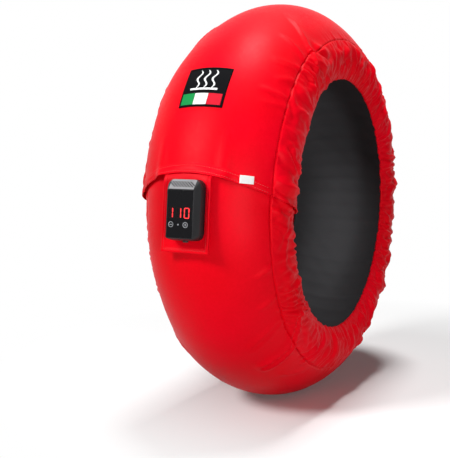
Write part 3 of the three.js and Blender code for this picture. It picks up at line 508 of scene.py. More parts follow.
def rumple(turned, down_mm, side):
    """Gathers and tucks: how far the cloth stands out, by its distance past the seam line."""
    seed = 100 if side > 0 else 200
    angle = LOWER_END_ANGLE - turned
    share = np.mod(angle, 360) / 360
    low = np.clip(down_mm / SKIRT_LENGTH, -0.4, 1)
    slant, middle, spread = FRONT_SLANT
    front = np.exp(-((centred(angle) - middle) / spread) ** 2)
    top = np.exp(-((centred(angle) - TOP_CALM[0]) / TOP_CALM[1]) ** 2)
    lean = ROUND_SLANT * ripple(turned, seed + 1, (5, 9, 13)) * (1 - 0.5 * top) + slant * front
    warp = 0.4 * lattice_noise(share * DRIFTS, low * 2.2 + 7, DRIFTS, seed + 2)
    base = share * GATHERS + lean * (low - 0.55) * 2.2 + warp
    tall = billow(base, low * 1.3 + 3 + warp, GATHERS, seed + 3)
    cross = ridged(share * CROSS_FOLDS - 4.0 * lean * low - warp, low * 3.2 + 5, CROSS_FOLDS, seed + 4)
    small = billow(share * SMALL_FOLDS + 2 * warp + lean * low, low * 2.4 + 9, SMALL_FOLDS, seed + 5)
    hem = billow(share * HEM_FOLDS + warp, low * 1.2 + 11, HEM_FOLDS, seed + 6)
    size = 0.85 + 0.35 * ripple(turned, seed + 7, (9, 14, 23))
    out = GATHER_RISE * tall * size * smoothstep(low, -0.3, 0.3) * (1 - 0.4 * smoothstep(low, 0.75, 1))
    crossed = smoothstep(low, 0.0, 0.35) * (1 - 0.7 * smoothstep(low, 0.7, 1)) * (1 - 0.4 * top)
    out += CROSS_RISE * cross * crossed
    out += SMALL_RISE * small * smoothstep(low, -0.12, 0.4)
    out += HEM_RISE * hem * smoothstep(low, 0.5, 0.95)
    out *= 1 if side > 0 else LEFT_SHARE
    return out


def ripple(angle, seed, counts):
    """Even noise round the wheel, about -1 to 1: a sum of waves with random phases."""
    draw = rng(seed)
    total = 0
    for count in counts:
        total = total + np.cos(count * np.radians(angle) + draw.uniform(0, 2 * np.pi))
    return total / math.sqrt(len(counts) / 2) / 1.6


def beside_line(along, across, start, end):
    """A line's start, way and length, and how far along it each place lies, as a share."""
    start, end = np.array(start, float), np.array(end, float)
    way = end - start
    length = np.hypot(*way)
    share = ((along - start[0]) * way[0] + (across - start[1]) * way[1]) / length ** 2
    return start, way, length, share


def crease(along, across, start, end, width, height):
    """A ridge, or a furrow where height is under 0, on the line from start to end, in mm."""
    start, way, _, share = beside_line(along, across, start, end)
    inside = np.clip(share, 0, 1)
    gap = np.hypot(along - start[0] - inside * way[0], across - start[1] - inside * way[1])
    taper = np.sin(np.pi * np.clip(0.12 + 0.76 * share, 0, 1)) ** 0.6
    return height * taper * np.exp(-(gap / width) ** 2)


def along_tread(angle):
    """Millimetres round the crown from the front, for an angle in degrees."""
    return np.radians(angle) * CROWN_RADIUS


# Folds as lines of angle and length from the crown: ridges, furrows between two swells, and
# steps that are sharp on one side and fade out on the other
FOLD_LINES = (
    ((74, 58.5), (121, 55), 4.0, 2.8),
    ((81, 36.2), (121, 36.6), 3.6, 2.6),
    ((84, 32), (120, 33.5), 3.2, 1.6),
    ((96, 41), (121, 44), 3.6, 1.8),
    ((96, -17), (121, -15), 4.0, 2.2),
    ((92, -27), (120, -25), 4.5, 2.2),
    ((80, -56), (112, -64), 5.0, 2.6),
    ((-60, 63), (-120, 57), 5.0, 2.4),
)
FURROW_LINES = (
    ((64, -48.8), (119, -46), 10.0, 11.0),
    ((119, -46), (152, -36), 9.0, 9.0),
    ((60, -40), (118, -34), 8.0, 3.0),
    ((84, 47), (120, 49), 5.0, 2.6),
    ((-66, -46), (-120, -44), 6.0, 3.0),
)
STEP_LINES = (
    ((46, 71), (150, 56), 13.0, 4.8),
    ((119, -46), (140, -53), 8.0, 3.0),
)
# A furrow's notch, against the swell that it parts
NOTCH_NARROWER = 2.6
NOTCH_DEEPER = 1.15
# Stitch rows, stitch grooves and the hem's step, from the flap's edge, and the dive at a seam
FLAP_STITCH_ROWS = (3.0, 11.0)
STITCH_GROOVE = 0.45
FLAP_HEM_STEP = 0.7
SEAM_DIVE = 1.9
SEAM_DIVE_WIDTH = 1.3
# Tucks beside the seams, and the folds' share on the cloth's inner side
TUCK_SHARE = 1.5
TUCK_REACH = 32
LEAST_HEIGHT = -0.8
FOLD_INSIDE_MOST = 1.5
FOLD_INSIDE_SHARE = 0.8


def step_crease(along, across, start, end, width, height):
    """A step that is sharp on one side of the line and fades on the other."""
    start, way, length, share = beside_line(along, across, start, end)
    beside = ((along - start[0]) * way[1] - (across - start[1]) * way[0]) / length
    taper = smoothstep(share, -0.05, 0.3) * (1 - smoothstep(share, 0.85, 1.05))
    rise = smoothstep(beside, -0.6, 0.6) * np.exp(-np.maximum(beside, 0) / width)
    return height * taper * rise


def flat_lines(lines):
    """The lines with their two ends as places on the flat cloth, in mm."""
    for (x0, a0), (x1, a1), width, rise in lines:
        yield (along_tread(a0), x0), (along_tread(a1), x1), width, rise


def fold_lines(along, across):
    total = 0
    for start, end, width, rise in flat_lines(FOLD_LINES):
        total = total + crease(along, across, start, end, width, rise)
    for start, end, width, rise in flat_lines(FURROW_LINES):
        total = total + crease(along, across, start, end, width, rise)
        total = total - crease(along, across, start, end, width / NOTCH_NARROWER, NOTCH_DEEPER * rise)
    for start, end, width, rise in flat_lines(STEP_LINES):
        total = total + step_crease(along, across, start, end, width, rise)
    return total


def tread_height(turned, length):
    """How far the cloth stands off its plain section: folds, tucks at the seams and slack."""
    angle = LOWER_END_ANGLE - turned
    along = along_tread(centred(angle))
    out = np.clip(np.abs(length) / SEAM_LENGTH, 0, 1)
    under_flap = 1 - smoothstep(turned, 10, 40)
    over_flap = smoothstep(turned, 345, 362)
    free = (1 - 0.85 * under_flap) * (1 - 0.6 * over_flap)
    slack = 0.7 * ripple(turned, 3, (5, 8, 11)) * (0.4 + out)
    slack += 0.35 * ripple(turned + 0.07 * length, 4, (17, 23, 29)) * (0.2 + 0.8 * out ** 2)
    height = slack + fold_lines(along, length)
    for side in (1, -1):
        from_seam = length * side - SEAM_LENGTH
        beside = from_seam > -TUCK_REACH - 2
        tuck = TUCK_SHARE * rumple(turned, from_seam, side)
        height = height + np.where(beside, tuck * smoothstep(from_seam, -TUCK_REACH, 2), 0)
    height = np.maximum(height * free, LEAST_HEIGHT)
    for side in (1, -1):
        edge = SEAM_LENGTH + seam_jog(turned, side) - length * side
        height = height - SEAM_DIVE * np.exp(-(np.maximum(edge, 0) / SEAM_DIVE_WIDTH) ** 2)
    x = TREAD_ARC * np.sin(np.minimum(np.abs(length), SEAM_LENGTH) / TREAD_ARC)
    from_edge = np.radians(flap_turn(x) - turned) * CROWN_RADIUS
    on_flap = turned > 180
    height = height + FLAP_HEM_STEP * (1 - smoothstep(from_edge, 12.5, 14.5)) * on_flap
    for row in FLAP_STITCH_ROWS:
        height = height - STITCH_GROOVE * np.exp(-(from_edge - row) ** 2) * on_flap
    return height


# How far the flap clears the pad, and where its swell over the pad fades out
FLAP_CLEARANCE = 2.4
BULGE_FADE = 24
BULGE_ANGLES = (12.5, 25)


def flap_bulge(turned, length):
    """The flap stands out over the pad's flat top, so that its edge runs straight across it."""
    angle = LOWER_END_ANGLE + 360 - turned
    bend = np.clip(length / TREAD_ARC, -1, 1)
    x = TREAD_ARC * np.sin(bend)
    z = CROWN_RADIUS * np.sin(np.radians(np.clip(angle, 0, 40)))
    held_x = np.clip(x, PAD_OFFSET - PAD_WIDTH / 2, PAD_OFFSET + PAD_WIDTH / 2)
    plane = FLAP_CLEARANCE - pad_y(held_x, z)
    here = (CROWN_RADIUS - TREAD_ARC + (TREAD_ARC + OVERLAP_LIFT) * np.cos(bend)) * np.cos(np.radians(angle))
    need = np.maximum(plane - here, 0)
    reach = 1 - smoothstep(np.abs(x - PAD_OFFSET), PAD_WIDTH / 2 - 1, PAD_WIDTH / 2 + BULGE_FADE)
    near = 1 - smoothstep(angle, *BULGE_ANGLES)
    return np.where(turned > 180, need * reach * near, 0)


def tread_lengths(turned):
    """Lengths from the crown of the cover's columns, closer together beside the seams."""
    edge = np.array([0.05, 0.5, 1.0, 1.6, 2.4, 3.4, 4.8])
    inner = SEAM_LENGTH - 7
    middle = np.linspace(-inner, inner, TREAD_COLUMNS)
    left = -SEAM_LENGTH + edge
    base = np.concatenate([left, middle, -left[::-1]])
    stretch = smoothstep(base, SEAM_LENGTH - 30, SEAM_LENGTH - 5)
    return base[None, :] + stretch[None, :] * seam_jog(turned, 1)[:, None]


def make_tread():
    crown_edge = float(flap_turn(0.0))
    fine_from = crown_edge - 4
    wide_steps = np.arange(0, fine_from, TREAD_STEP)
    fine_steps = np.arange(fine_from, crown_edge, TREAD_EDGE_STEP)
    turns = np.concatenate([wide_steps, fine_steps, [crown_edge]])
    lengths = tread_lengths(turns)
    turned = tread_turn(np.broadcast_to(turns[:, None], lengths.shape), lengths)
    height = tread_height(turned, lengths)
    bulge = flap_bulge(turned, lengths)
    outer = cloth_spot(turned, lengths, height + bulge)
    inner_height = np.minimum(height, FOLD_INSIDE_MOST) * FOLD_INSIDE_SHARE
    inner = cloth_spot(turned, lengths, bulge + inner_height - CLOTH)
    flat = np.stack([along_tread(turned), lengths], -1)
    cloth = loft("tread_cloth", there_and_back(outer, inner), there_and_back(flat, flat))
    finish_piece(cloth, RED, "red_nylon", "tread_cover")


# Wadding: the depths of its two faces, the way in from the seams and its rounded edge
INNER_TURN = 356
WADDING_TOP = 2.6
WADDING_FOOT = 6.5
WADDING_INSET = 5
WADDING_ROUND = 2.4
WADDING_ROUND_WIDTH = 6


def make_wadding():
    """The insulation, with soft edges drawn in from the seams, which leaves room for their folds."""
    turns = np.arange(0, INNER_TURN + 0.1, 2)
    half = SEAM_LENGTH - WADDING_INSET
    lengths = np.linspace(-half, half, 60)
    turned, length = np.meshgrid(turns, lengths, indexing="ij")
    from_edge = half - np.abs(length)
    round_off = WADDING_ROUND * (1 - np.sqrt(np.clip(from_edge / WADDING_ROUND_WIDTH, 0, 1)))
    outer = cloth_spot(turned, length, -WADDING_TOP - round_off)
    inner = cloth_spot(turned, length, -WADDING_FOOT + 0.5 * round_off)
    flat = np.stack([along_tread(turned), length], -1)
    pad = loft("wadding_pad", there_and_back(outer, inner), there_and_back(flat, flat))
    finish_piece(pad, WADDING, "wadding", "insulation")


# Turned-in cloth edges under the seams
SEAM_FOLD_TURN = 379.5
SEAM_FOLD_HALF = 7
SEAM_FOLD_TOP = 3.5
SEAM_FOLD_FOOT = 4.7


def make_seam_folds():
    """The turned-in edges of both cloths under each seam, as one strip."""
    for side, word in ((1, "right"), (-1, "left")):
        turns = np.arange(0, SEAM_FOLD_TURN, 1.0)
        across = np.linspace(-SEAM_FOLD_HALF, SEAM_FOLD_HALF, 9)
        lengths = SEAM_LENGTH + across[None, :] + seam_jog(turns, side)[:, None]
        turned = np.broadcast_to(turns[:, None], lengths.shape)
        outer = cloth_spot(turned, side * lengths, np.full(lengths.shape, -SEAM_FOLD_TOP))
        inner = cloth_spot(turned, side * lengths, np.full(lengths.shape, -SEAM_FOLD_FOOT))
        flat = np.stack([along_tread(turned), lengths], -1)
        strip = loft(f"seam_fold_{word}", there_and_back(outer, inner), there_and_back(flat, flat))
        finish_piece(strip, RED, "red_nylon")


# Side skirts
FOLD_TOP = 1 - HEM_FOLD / SKIRT_LENGTH
HEM_INSIDE = CLOTH + HEM_CHANNEL


def skirt_outline():
    """Down, past and depth round the cloth's section: outside, hem, turned-up edge, inside."""
    seam_rows = [0.0006, 0.006, 0.012, 0.02, 0.034, 0.05]
    outer = np.concatenate([seam_rows, np.linspace(0.075, FOLD_TOP - 0.03, 19)])
    hem_rows = np.linspace(FOLD_TOP, 1, 7)
    rows = [(down, 0, 0) for down in [*outer, *hem_rows]]
    half = (HEM_INSIDE + CLOTH) / 2
    for turn in np.linspace(0, math.pi, 8)[1:-1]:
        rows.append((1, half * math.sin(turn), half - half * math.cos(turn)))
    rows += [(down, 0, HEM_INSIDE + CLOTH) for down in hem_rows[::-1]]
    rows += [(down, 0, HEM_INSIDE) for down in hem_rows]
    middle = HEM_CHANNEL / 2
    for turn in np.linspace(math.pi, 0, 6)[1:-1]:
        rows.append((1, middle * math.sin(turn), CLOTH + middle - middle * math.cos(turn)))
    rows += [(down, 0, CLOTH) for down in [*hem_rows[::-1], *outer[::-1]]]
    return np.array(rows)


def elastic_outline():
    outside = CLOTH + (HEM_CHANNEL - ELASTIC_THICKNESS) / 2
    low = 1 - 0.3 / SKIRT_LENGTH
    rows = np.linspace(low - ELASTIC_WIDTH / SKIRT_LENGTH, low, 5)
    front = [(down, 0, outside) for down in rows]
    back = [(down, 0, outside + ELASTIC_THICKNESS) for down in rows[::-1]]
    return np.array(front + back)


def gather_out(turned, down_mm, side):
    """How far the gathers stand out along the skirt, in mm."""
    on_flap = smoothstep(turned, 322, 346)
    under = 1 - smoothstep(turned, 16, 30)
    calm = (1 - 0.3 * on_flap) * (1 - 0.6 * under)
    along = along_tread(centred(LOWER_END_ANGLE - turned))
    out = rumple(turned, down_mm, side) * calm
    out = out + fold_lines(along, side * (SEAM_LENGTH + down_mm)) * (1 - 0.5 * under)
    in_hem = smoothstep(down_mm, SKIRT_LENGTH - HEM_FOLD - 3, SKIRT_LENGTH - HEM_FOLD + 5)
    return out * (1 - 0.4 * in_hem)


def skirt_turn(turned, down):
    """Spreads the last stretch out to the flap's slanting edge on the skirt."""
    most = LOWER_END_ANGLE + 360 - FLAP_HEM_ANGLE
    start = most - 16
    edge = LOWER_END_ANGLE + 360 - lerp(FLAP_SEAM_ANGLE, FLAP_HEM_ANGLE, np.clip(down, 0, 1))
    share = np.clip((turned - start) / (most - start), 0, 1)
    return np.where(share > 0, lerp(start, edge, share), turned)


def sweep_skirt(side, outline, short=0):
    most = LOWER_END_ANGLE + 360 - FLAP_HEM_ANGLE - short
    turns = np.append(np.arange(short, most, SKIRT_STEP), most)
    down, past, depth = outline.T
    turned = skirt_turn(turns[:, None], down[None, :])
    start = seam_jog(turned, side)
    down_mm = down[None, :] * SKIRT_LENGTH
    down_mm = down_mm + start * np.clip(1 - down[None, :] / FOLD_TOP, 0, 1)
    gathers = gather_out(turned, down_mm, side)
    from_seam = down_mm - start
    gathers = gathers * smoothstep(from_seam, -4, 5) - SEAM_DIVE * np.exp(-(from_seam / SEAM_DIVE_WIDTH) ** 2)
    spot, out, lift_way = section(SEAM_LENGTH + down_mm)
    way = np.stack([out[..., 1], -out[..., 0]], -1)
    waves = billow(turned * HEM_SCALLOPS / 360, down_mm / 90, HEM_SCALLOPS, 400 + side)
    scallop = SCALLOP_DROP * waves * smoothstep(down, 0.8, 1)[None, :]
    flat_spot = spot + out * (gathers - depth[None, :] + flap_hem_rise(turned, down))[..., None]
    flat_spot = flat_spot + way * (past[None, :] + scallop)[..., None]
    flat_spot = flat_spot + lift_way * lift_at(turned)[..., None]
    points = round_wheel(side * flat_spot[..., 0], flat_spot[..., 1], LOWER_END_ANGLE - turned)
    return points, np.stack([np.radians(turned) * 245, down_mm + past], -1)


def flap_hem_rise(turned, down):
    edge = LOWER_END_ANGLE + 360 - lerp(FLAP_SEAM_ANGLE, FLAP_HEM_ANGLE, np.clip(down, 0, 1))
    from_edge = np.radians(edge - turned) * 250
    rise = 0.6 * (1 - smoothstep(from_edge, 10, 12))
    return np.where(turned > 180, rise - 0.4 * np.exp(-((from_edge - 9) / 1.2) ** 2), 0)


def skirt_caps(name, loops, flat, outline):
    """The skirt's loop with its two ends closed along the cloth's own thickness."""
    rows, count = loops.shape[:2]
    faces = wall_faces(rows, count)
    pairs = cap_pairs(outline)
    last = (rows - 1) * count
    for a, b, c, d in pairs:
        faces.append([d, c, b, a])
        faces.append([last + a, last + b, last + c, last + d])
    obj = facing_out(new_object(name, loops.reshape(-1, 3), faces))
    add_uv(obj, flat.reshape(-1, 2) * MM)
    return obj


def cap_pairs(outline):
    """Quads between the outside and the inside of a folded section, found from its two ends."""
    count = len(outline)
    pairs = []
    low, high = 0, count - 1
    while high - low > 1:
        if high - low == 2:
            pairs.append((low, low + 1, high, high))
            break
        pairs.append((low, low + 1, high - 1, high))
        low += 1
        high -= 1
    return [pair for pair in pairs if len(set(pair)) == 4]


def make_skirts():
    for side, word in ((1, "right"), (-1, "left")):
        outline = skirt_outline()
        loops, flat = sweep_skirt(side, outline)
        skirt = skirt_caps(f"skirt_cloth_{word}", loops, flat, outline)
        finish_piece(skirt, RED, "red_nylon", f"skirt_{word}")
        loops, flat = sweep_skirt(side, elastic_outline(), 2)
        band = loft(f"elastic_band_{word}", loops, flat)
        finish_piece(band, TAPE, "white_tape", f"elastic_{word}")


# Lining, quilted in channels across the tread
QUILT_CHANNELS = 72
QUILT_PUFF = 1.6


def make_lining():
    turns = np.arange(0, INNER_TURN + 0.01, 0.75)
    bends = np.linspace(-SEAM_BEND + 0.003, SEAM_BEND - 0.003, 49)
    turned, bend = np.meshgrid(turns, bends, indexing="ij")
    outer = tread_spot(turned, bend, -LINING_DEPTH)
    channel = np.abs(np.sin(np.radians(turned) * QUILT_CHANNELS / 2)) ** 0.5
    puff = QUILT_PUFF * channel * smoothstep(SEAM_BEND - np.abs(bend), 0.01, 0.06)
    puff += 0.25 * ripple(turned + 20 * bend, 51, (41, 57))
    inner = tread_spot(turned, bend, -LINING_DEPTH - LINING_THICKNESS - puff)
    flat = np.stack([along_tread(turned), bend * TREAD_ARC], -1)
    cloth = loft("lining_cloth", there_and_back(outer, inner), there_and_back(flat, flat))
    finish_piece(cloth, LINING, "dark_lining", "inner_lining")


# Stitches
def stitch_row(name, path, outward, length=2.6, gap=1.3, radius=0.42):
    """A row of thread stitches along a path, each a short round-ended run, in one mesh."""
    path = np.asarray(path, float)
    steps = np.concatenate([[0], np.cumsum(np.linalg.norm(np.diff(path, axis=0), axis=1))])
    starts = np.arange(gap, steps[-1] - length, length + gap)
    rings = ((0.0, 0.0), (0.12, 0.75), (0.5, 1.0), (0.88, 0.75), (1.0, 0.0))
    sides = 6
    points, faces = [], []
    for start in starts:
        base = len(points)
        at = np.array([start + share * length for share, _ in rings])
        middle = np.stack([np.interp(at, steps, path[:, k]) for k in range(3)], 1)
        out = np.stack([np.interp(at, steps, outward[:, k]) for k in range(3)], 1)
        way = middle[-1] - middle[0]
        way /= np.linalg.norm(way)
        beside = np.cross(way, out[2])
        beside /= np.linalg.norm(beside)
        up = np.cross(beside, way)
        for ring, (share, size) in enumerate(rings):
            sink = radius * (0.5 - 0.5 * size)
            if size == 0:
                points.append(middle[ring] - up * sink)
                continue
            for k in range(sides):
                turn = 2 * math.pi * k / sides
                off = beside * math.cos(turn) + up * math.sin(turn)
                points.append(middle[ring] + off * radius * size)
        tail = len(points) - 1
        for k in range(sides):
            after = (k + 1) % sides
            faces.append((base, base + 1 + after, base + 1 + k))
            for ring in range(2):
                a = base + 1 + ring * sides
                faces.append((a + k, a + after, a + sides + after, a + sides + k))
            a = base + 1 + 2 * sides
            faces.append((a + k, a + after, tail))
    obj = facing_out(new_object(name, points, faces))
    add_uv(obj, np.zeros((len(points), 2)))
    return finish_piece(obj, RED_THREAD, "red_nylon")


def make_flap_stitches():
    bends = np.linspace(-SEAM_BEND + 0.05, SEAM_BEND - 0.05, 160)
    for place, row in enumerate(FLAP_STITCH_ROWS):
        turned = flap_turn(TREAD_ARC * np.sin(bends)) - math.degrees(row / CROWN_RADIUS)
        lengths = bends * TREAD_ARC
        height = tread_height(turned, lengths) + flap_bulge(turned, lengths)
        path = cloth_spot(turned, lengths, height + 0.25)
        outward = cloth_spot(turned, lengths, height + 1.25) - path
        stitch_row(f"flap_stitches_{place + 1}", path, outward)


# Pad
def pad_y(x, z):
    """The pad's front face: on the crown under the flap, flat and leaning out below it."""
    drop = TREAD_ARC - np.sqrt(TREAD_ARC ** 2 - x ** 2)
    tab_radius = CROWN_RADIUS + 0.7 + PAD_THICKNESS - drop
    tab = -np.sqrt(np.maximum(tab_radius ** 2 - z ** 2, 1))
    flat = (z - PAD_CENTRE_Z) * math.tan(math.radians(PAD_TILT)) - PAD_FRONT
    return lerp(flat, tab - 0.6, smoothstep(z, 52, 76))


def pad_offsets(x, z):
    """Hems, stitch grooves and slack of the pad's cloth, in mm out of its face."""
    half = PAD_WIDTH / 2
    beside = np.minimum(half - np.abs(x - PAD_OFFSET), z - PAD_FOOT_Z)
    out = 0.9 * (1 - smoothstep(beside, PAD_HEM - 0.7, PAD_HEM + 0.5))
    out -= 0.4 * np.exp(-((beside - PAD_STITCH_INSET) / 0.6) ** 2)
    out -= 0.7 * np.exp(-(beside / 0.5) ** 2)
    below = smoothstep(-z, -50, -30)
    out += below * 0.5 * np.sin(0.11 * z + 0.6) * (np.abs(x) / half) ** 2
    return out


def make_pad():
    half = PAD_WIDTH / 2
    edge = np.array([0, 0.3, 0.8, 2, 3.4, 4.2, 5, 5.8, 7])
    middle = np.linspace(-half + 9, half - 9, 30)
    xs = np.concatenate([-half + edge, middle, (half - edge)[::-1]]) + PAD_OFFSET
    zs = np.concatenate([PAD_FOOT_Z + edge, np.linspace(PAD_FOOT_Z + 9, PAD_TOP_Z, 60)])[::-1]
    z, x = np.meshgrid(zs, xs, indexing="ij")
    front = np.stack([x, pad_y(x, z) - pad_offsets(x, z), z], -1)
    back = np.stack([x, pad_y(x, z) + PAD_THICKNESS, z], -1)
    flat = np.stack([x, z], -1)
    pad = loft("pad_cloth", there_and_back(front, back), there_and_back(flat, flat))
    finish_piece(pad, RED, "red_nylon", "controller_pad")
    side, foot = half - PAD_STITCH_INSET, PAD_FOOT_Z + PAD_STITCH_INSET
    corners = [(-side, PAD_STITCH_TOP), (-side, foot), (side, foot), (side, PAD_STITCH_TOP)]
    path = []
    for (x0, z0), (x1, z1) in zip(corners, corners[1:]):
        for share in np.linspace(0, 1, 60, endpoint=False):
            sx, sz = lerp(x0, x1, share) + PAD_OFFSET, lerp(z0, z1, share)
            path.append((sx, float(pad_y(sx, sz) - pad_offsets(sx, sz)) - 0.2, sz))
    path = np.array(path)
    outward = np.tile([0.0, -1.0, 0.0], (len(path), 1))
    stitch_row("pad_stitches", path, outward, length=2.2, gap=1.1, radius=0.35)


# Badge and label on the lifted tread
BADGE_HALF = 34
BADGE_LOW = 27.8
BADGE_HIGH = 39.4
BADGE_TOP = 1.6
BADGE_BAR_HALF = 21.2
WAVE_PITCH = 12
WAVE_SWAY = 2.6
WAVE_HALF = 1.6
LABEL_SIDES = (69.25, 84.75)
LABEL_TALL = 12.5
DEGREES_PER_MM = math.degrees(1 / (CROWN_RADIUS + OVERLAP_LIFT))


def on_flap(x, angle, height):
    """A point over the flap's cloth: how far out along the axle, at what angle, how high."""
    bend = np.arcsin(np.asarray(x, float) / TREAD_ARC)
    turned = LOWER_END_ANGLE + 360 - np.asarray(angle, float)
    return tread_spot(turned, bend, height)


def flap_patch(name, left, right, low, high, under, thickness, columns, rows, relief=None):
    """A cloth patch over the flap; relief adds height by place across and up, each 0 to 1."""
    across, up = np.meshgrid(np.linspace(0, 1, columns + 1), np.linspace(0, 1, rows + 1))
    x, angle = lerp(left, right, across), lerp(low, high, up)
    extra = relief(across, up) if relief else 0
    top = on_flap(x, angle, under + thickness + extra)
    base = on_flap(x, angle, under + 0 * x)
    flat = np.stack([x, angle / DEGREES_PER_MM], -1)
    return loft(name, there_and_back(top, base), there_and_back(flat, flat))


def make_badge():
    tall = (BADGE_HIGH - BADGE_LOW) / DEGREES_PER_MM

    def merrow(across, up):
        beside = np.minimum(across, 1 - across) * 2 * BADGE_HALF
        above = np.minimum(up, 1 - up) * tall
        near = np.minimum(beside, above)
        ring = np.sqrt(np.clip(1 - ((near - 1.5) / 1.5) ** 2, 0, 1)) * 0.9
        lay = 0.12 * np.cos((across * 2 * BADGE_HALF + up * tall) * 2 * math.pi / 1.6)
        return ring * (1 + lay) - 0.6 * (near < 0.01)

    sides = (-BADGE_HALF, BADGE_HALF, BADGE_LOW, BADGE_HIGH)
    patch = flap_patch("badge_cloth", *sides, 0.3, 1.0, 136, 136, merrow)
    finish_piece(patch, BLACK_WEAVE, "black_patch", "badge_patch")
    low = BADGE_LOW + 3 * DEGREES_PER_MM
    high = low + (BADGE_HIGH - BADGE_LOW) * 0.27
    inner = 2 * (BADGE_HALF - 3)
    looks = (
        ("green", GREEN_WEAVE, "green_print"),
        ("white", WHITE_WEAVE, "white_tape"),
        ("red", RED_WEAVE, "red_print"),
    )

    def satin(across, up):
        ends = np.sin(np.pi * np.clip(across, 0, 1)) ** 0.25
        return 0.25 * ends + 0.06 * np.cos(up * 2 * math.pi * 22)

    for place, (word, look, slot) in enumerate(looks):
        left = -inner / 2 + inner * place / 3 + 0.2
        right = left + inner / 3 - 0.4
        field = flap_patch(f"badge_{word}_cloth", left, right, low, high, BADGE_TOP, 0.4, 20, 66, satin)
        finish_piece(field, look, slot, f"badge_{word}_field")
    make_badge_mark(high)


def make_badge_mark(fields_top):
    """Three waves of rising heat over a bar, in raised satin stitch."""
    foot = fields_top + 6 * DEGREES_PER_MM
    top = BADGE_HIGH - 6 * DEGREES_PER_MM
    bar_top = foot + 3.2 * DEGREES_PER_MM
    bar = flap_patch("badge_bar", -BADGE_BAR_HALF, BADGE_BAR_HALF, foot, bar_top, BADGE_TOP, 0.7, 60, 4)
    finish_piece(bar, WHITE_WEAVE, "white_tape", "badge_mark")
    for wave in range(3):
        centre = (wave - 1) * WAVE_PITCH
        shares = np.linspace(0, 1, 60)
        sway = WAVE_SWAY * np.sin(shares * math.pi * 3)
        angle = lerp(bar_top + 0.8 * DEGREES_PER_MM, top, shares)
        half = WAVE_HALF * np.sin(np.pi * np.clip(0.06 + 0.9 * shares, 0, 1)) ** 0.35
        loops = []
        for k in range(len(shares)):
            ring = []
            for turn in np.linspace(0, math.pi, 9):
                x = centre + sway[k] - half[k] * math.cos(turn)
                ring.append(on_flap(x, angle[k], BADGE_TOP + 0.75 * math.sin(turn) ** 0.7))
            loops.append(ring)
        mark = loft_closed(f"badge_wave_{wave + 1}", np.array(loops))
        finish_piece(mark, WHITE_WEAVE, "white_tape")


def loft_closed(name, loops):
    """A closed solid through loops, each end capped by one face."""
    rows, count = loops.shape[:2]
    faces = wall_faces(rows, count)
    faces.append(list(range(count))[::-1])
    faces.append([(rows - 1) * count + k for k in range(count)])
    obj = facing_out(new_object(name, loops.reshape(-1, 3), faces))
    add_uv(obj, loops.reshape(-1, 3)[:, [0, 2]] * MM)
    return obj


def make_label():
    left, right = LABEL_SIDES
    low = LOWER_END_ANGLE + 360 - float(flap_turn(left)) + DEGREES_PER_MM
    high = low + LABEL_TALL * DEGREES_PER_MM

    def sewn(across, up):
        return 0.35 * np.sin(np.pi * across) ** 0.5 - 0.25 * (np.exp(-((across - 0.06) / 0.02) ** 2))

    label = flap_patch("label_cloth", left, right, low, high, 0.9, 0.5, 40, 22, sewn)
    finish_piece(label, TAPE, "white_tape", "size_label")


# Controller: bevelled copies of its hard shapes
def pad_matrix():
    place = Matrix.Translation(Vector((PAD_OFFSET, -PAD_FRONT, PAD_CENTRE_Z)) * MM)
    return place @ Matrix.Rotation(math.radians(90 - PAD_TILT), 4, "X")


PAD_PLANE = pad_matrix()


# Degrees between two faces from which their edge is rounded, and from which it shades sharp
SHARP_FROM = 28
SHADES_SHARP_FROM = 38


def bevelled_copy(node, name, width):
    """A copy of a hard node's mesh with its flat faces joined and its sharp edges rounded."""
    source = bpy.data.objects[node]
    mesh = source.data.copy()
    mesh.name = name
    obj = bpy.data.objects.new(name, mesh)
    obj.matrix_world = source.matrix_world.copy()
    bpy.context.scene.collection.objects.link(obj)
    made = bmesh.new()
    made.from_mesh(mesh)
    bmesh.ops.remove_doubles(made, verts=made.verts, dist=1e-6)
    bmesh.ops.dissolve_limit(made, angle_limit=math.radians(1), verts=made.verts, edges=made.edges)
    least = math.radians(SHARP_FROM)
    sharp = [edge for edge in made.edges if edge.is_manifold and edge.calc_face_angle(0) > least]
    bmesh.ops.bevel(
        made,
        geom=sharp,
        offset=width * MM,
        segments=3,
        profile=0.6,
        affect="EDGES",
        clamp_overlap=True,
    )
    made.to_mesh(mesh)
    made.free()
    mesh.polygons.foreach_set("use_smooth", [True] * len(mesh.polygons))
    mesh.set_sharp_from_angle(angle=math.radians(SHADES_SHARP_FROM))
    return obj


def in_pad(point):
    return PAD_PLANE.inverted() @ point


# The case's top slope: where its foot and its top lie up the face, and how far it falls
SLOPE_FOOT = FACE_UP + 34.75
SLOPE_TOP = 46.5
SLOPE_RUN = 13.8
SLOPE_FALL = 10
GROOVE_SHALLOWEST = 0.35


def make_controller():
    front = bevelled_copy("controller_front_shell", "case_cover", 0.5)
    finish_piece(front, [CASE_BLACK, RIB_TOP_HIGHLIGHT], "black_plastic", "controller_front_shell")
    # Proud faces on the top slope take the grey painted highlight; the rest of the case stays black
    for face in front.data.polygons:
        spot = in_pad(front.matrix_world @ face.center) / MM
        way = PAD_PLANE.inverted().to_3x3() @ face.normal
        on_slope = SLOPE_FOOT + 1 < spot.y < SLOPE_TOP and way.y > 0.4 and way.z > 0.4
        surface = CASE_DEPTH - (spot.y - SLOPE_FOOT) * SLOPE_FALL / SLOPE_RUN
        proud = spot.z > surface - GROOVE_SHALLOWEST
        face.material_index = 1 if on_slope and proud else 0
    back = bevelled_copy("controller_back_shell", "case_back", 0.5)
    finish_piece(back, CASE_BLACK, "black_plastic", "controller_back_shell")
    lens = bevelled_copy("display_lens", "display_window", 0.35)
    finish_piece(lens, WINDOW, "black_window", "display_lens")


def in_pad_plane(points):
    turn = np.array(PAD_PLANE.to_3x3())
    move = np.array(PAD_PLANE.translation) / MM
    return np.asarray(points) @ turn.T + move


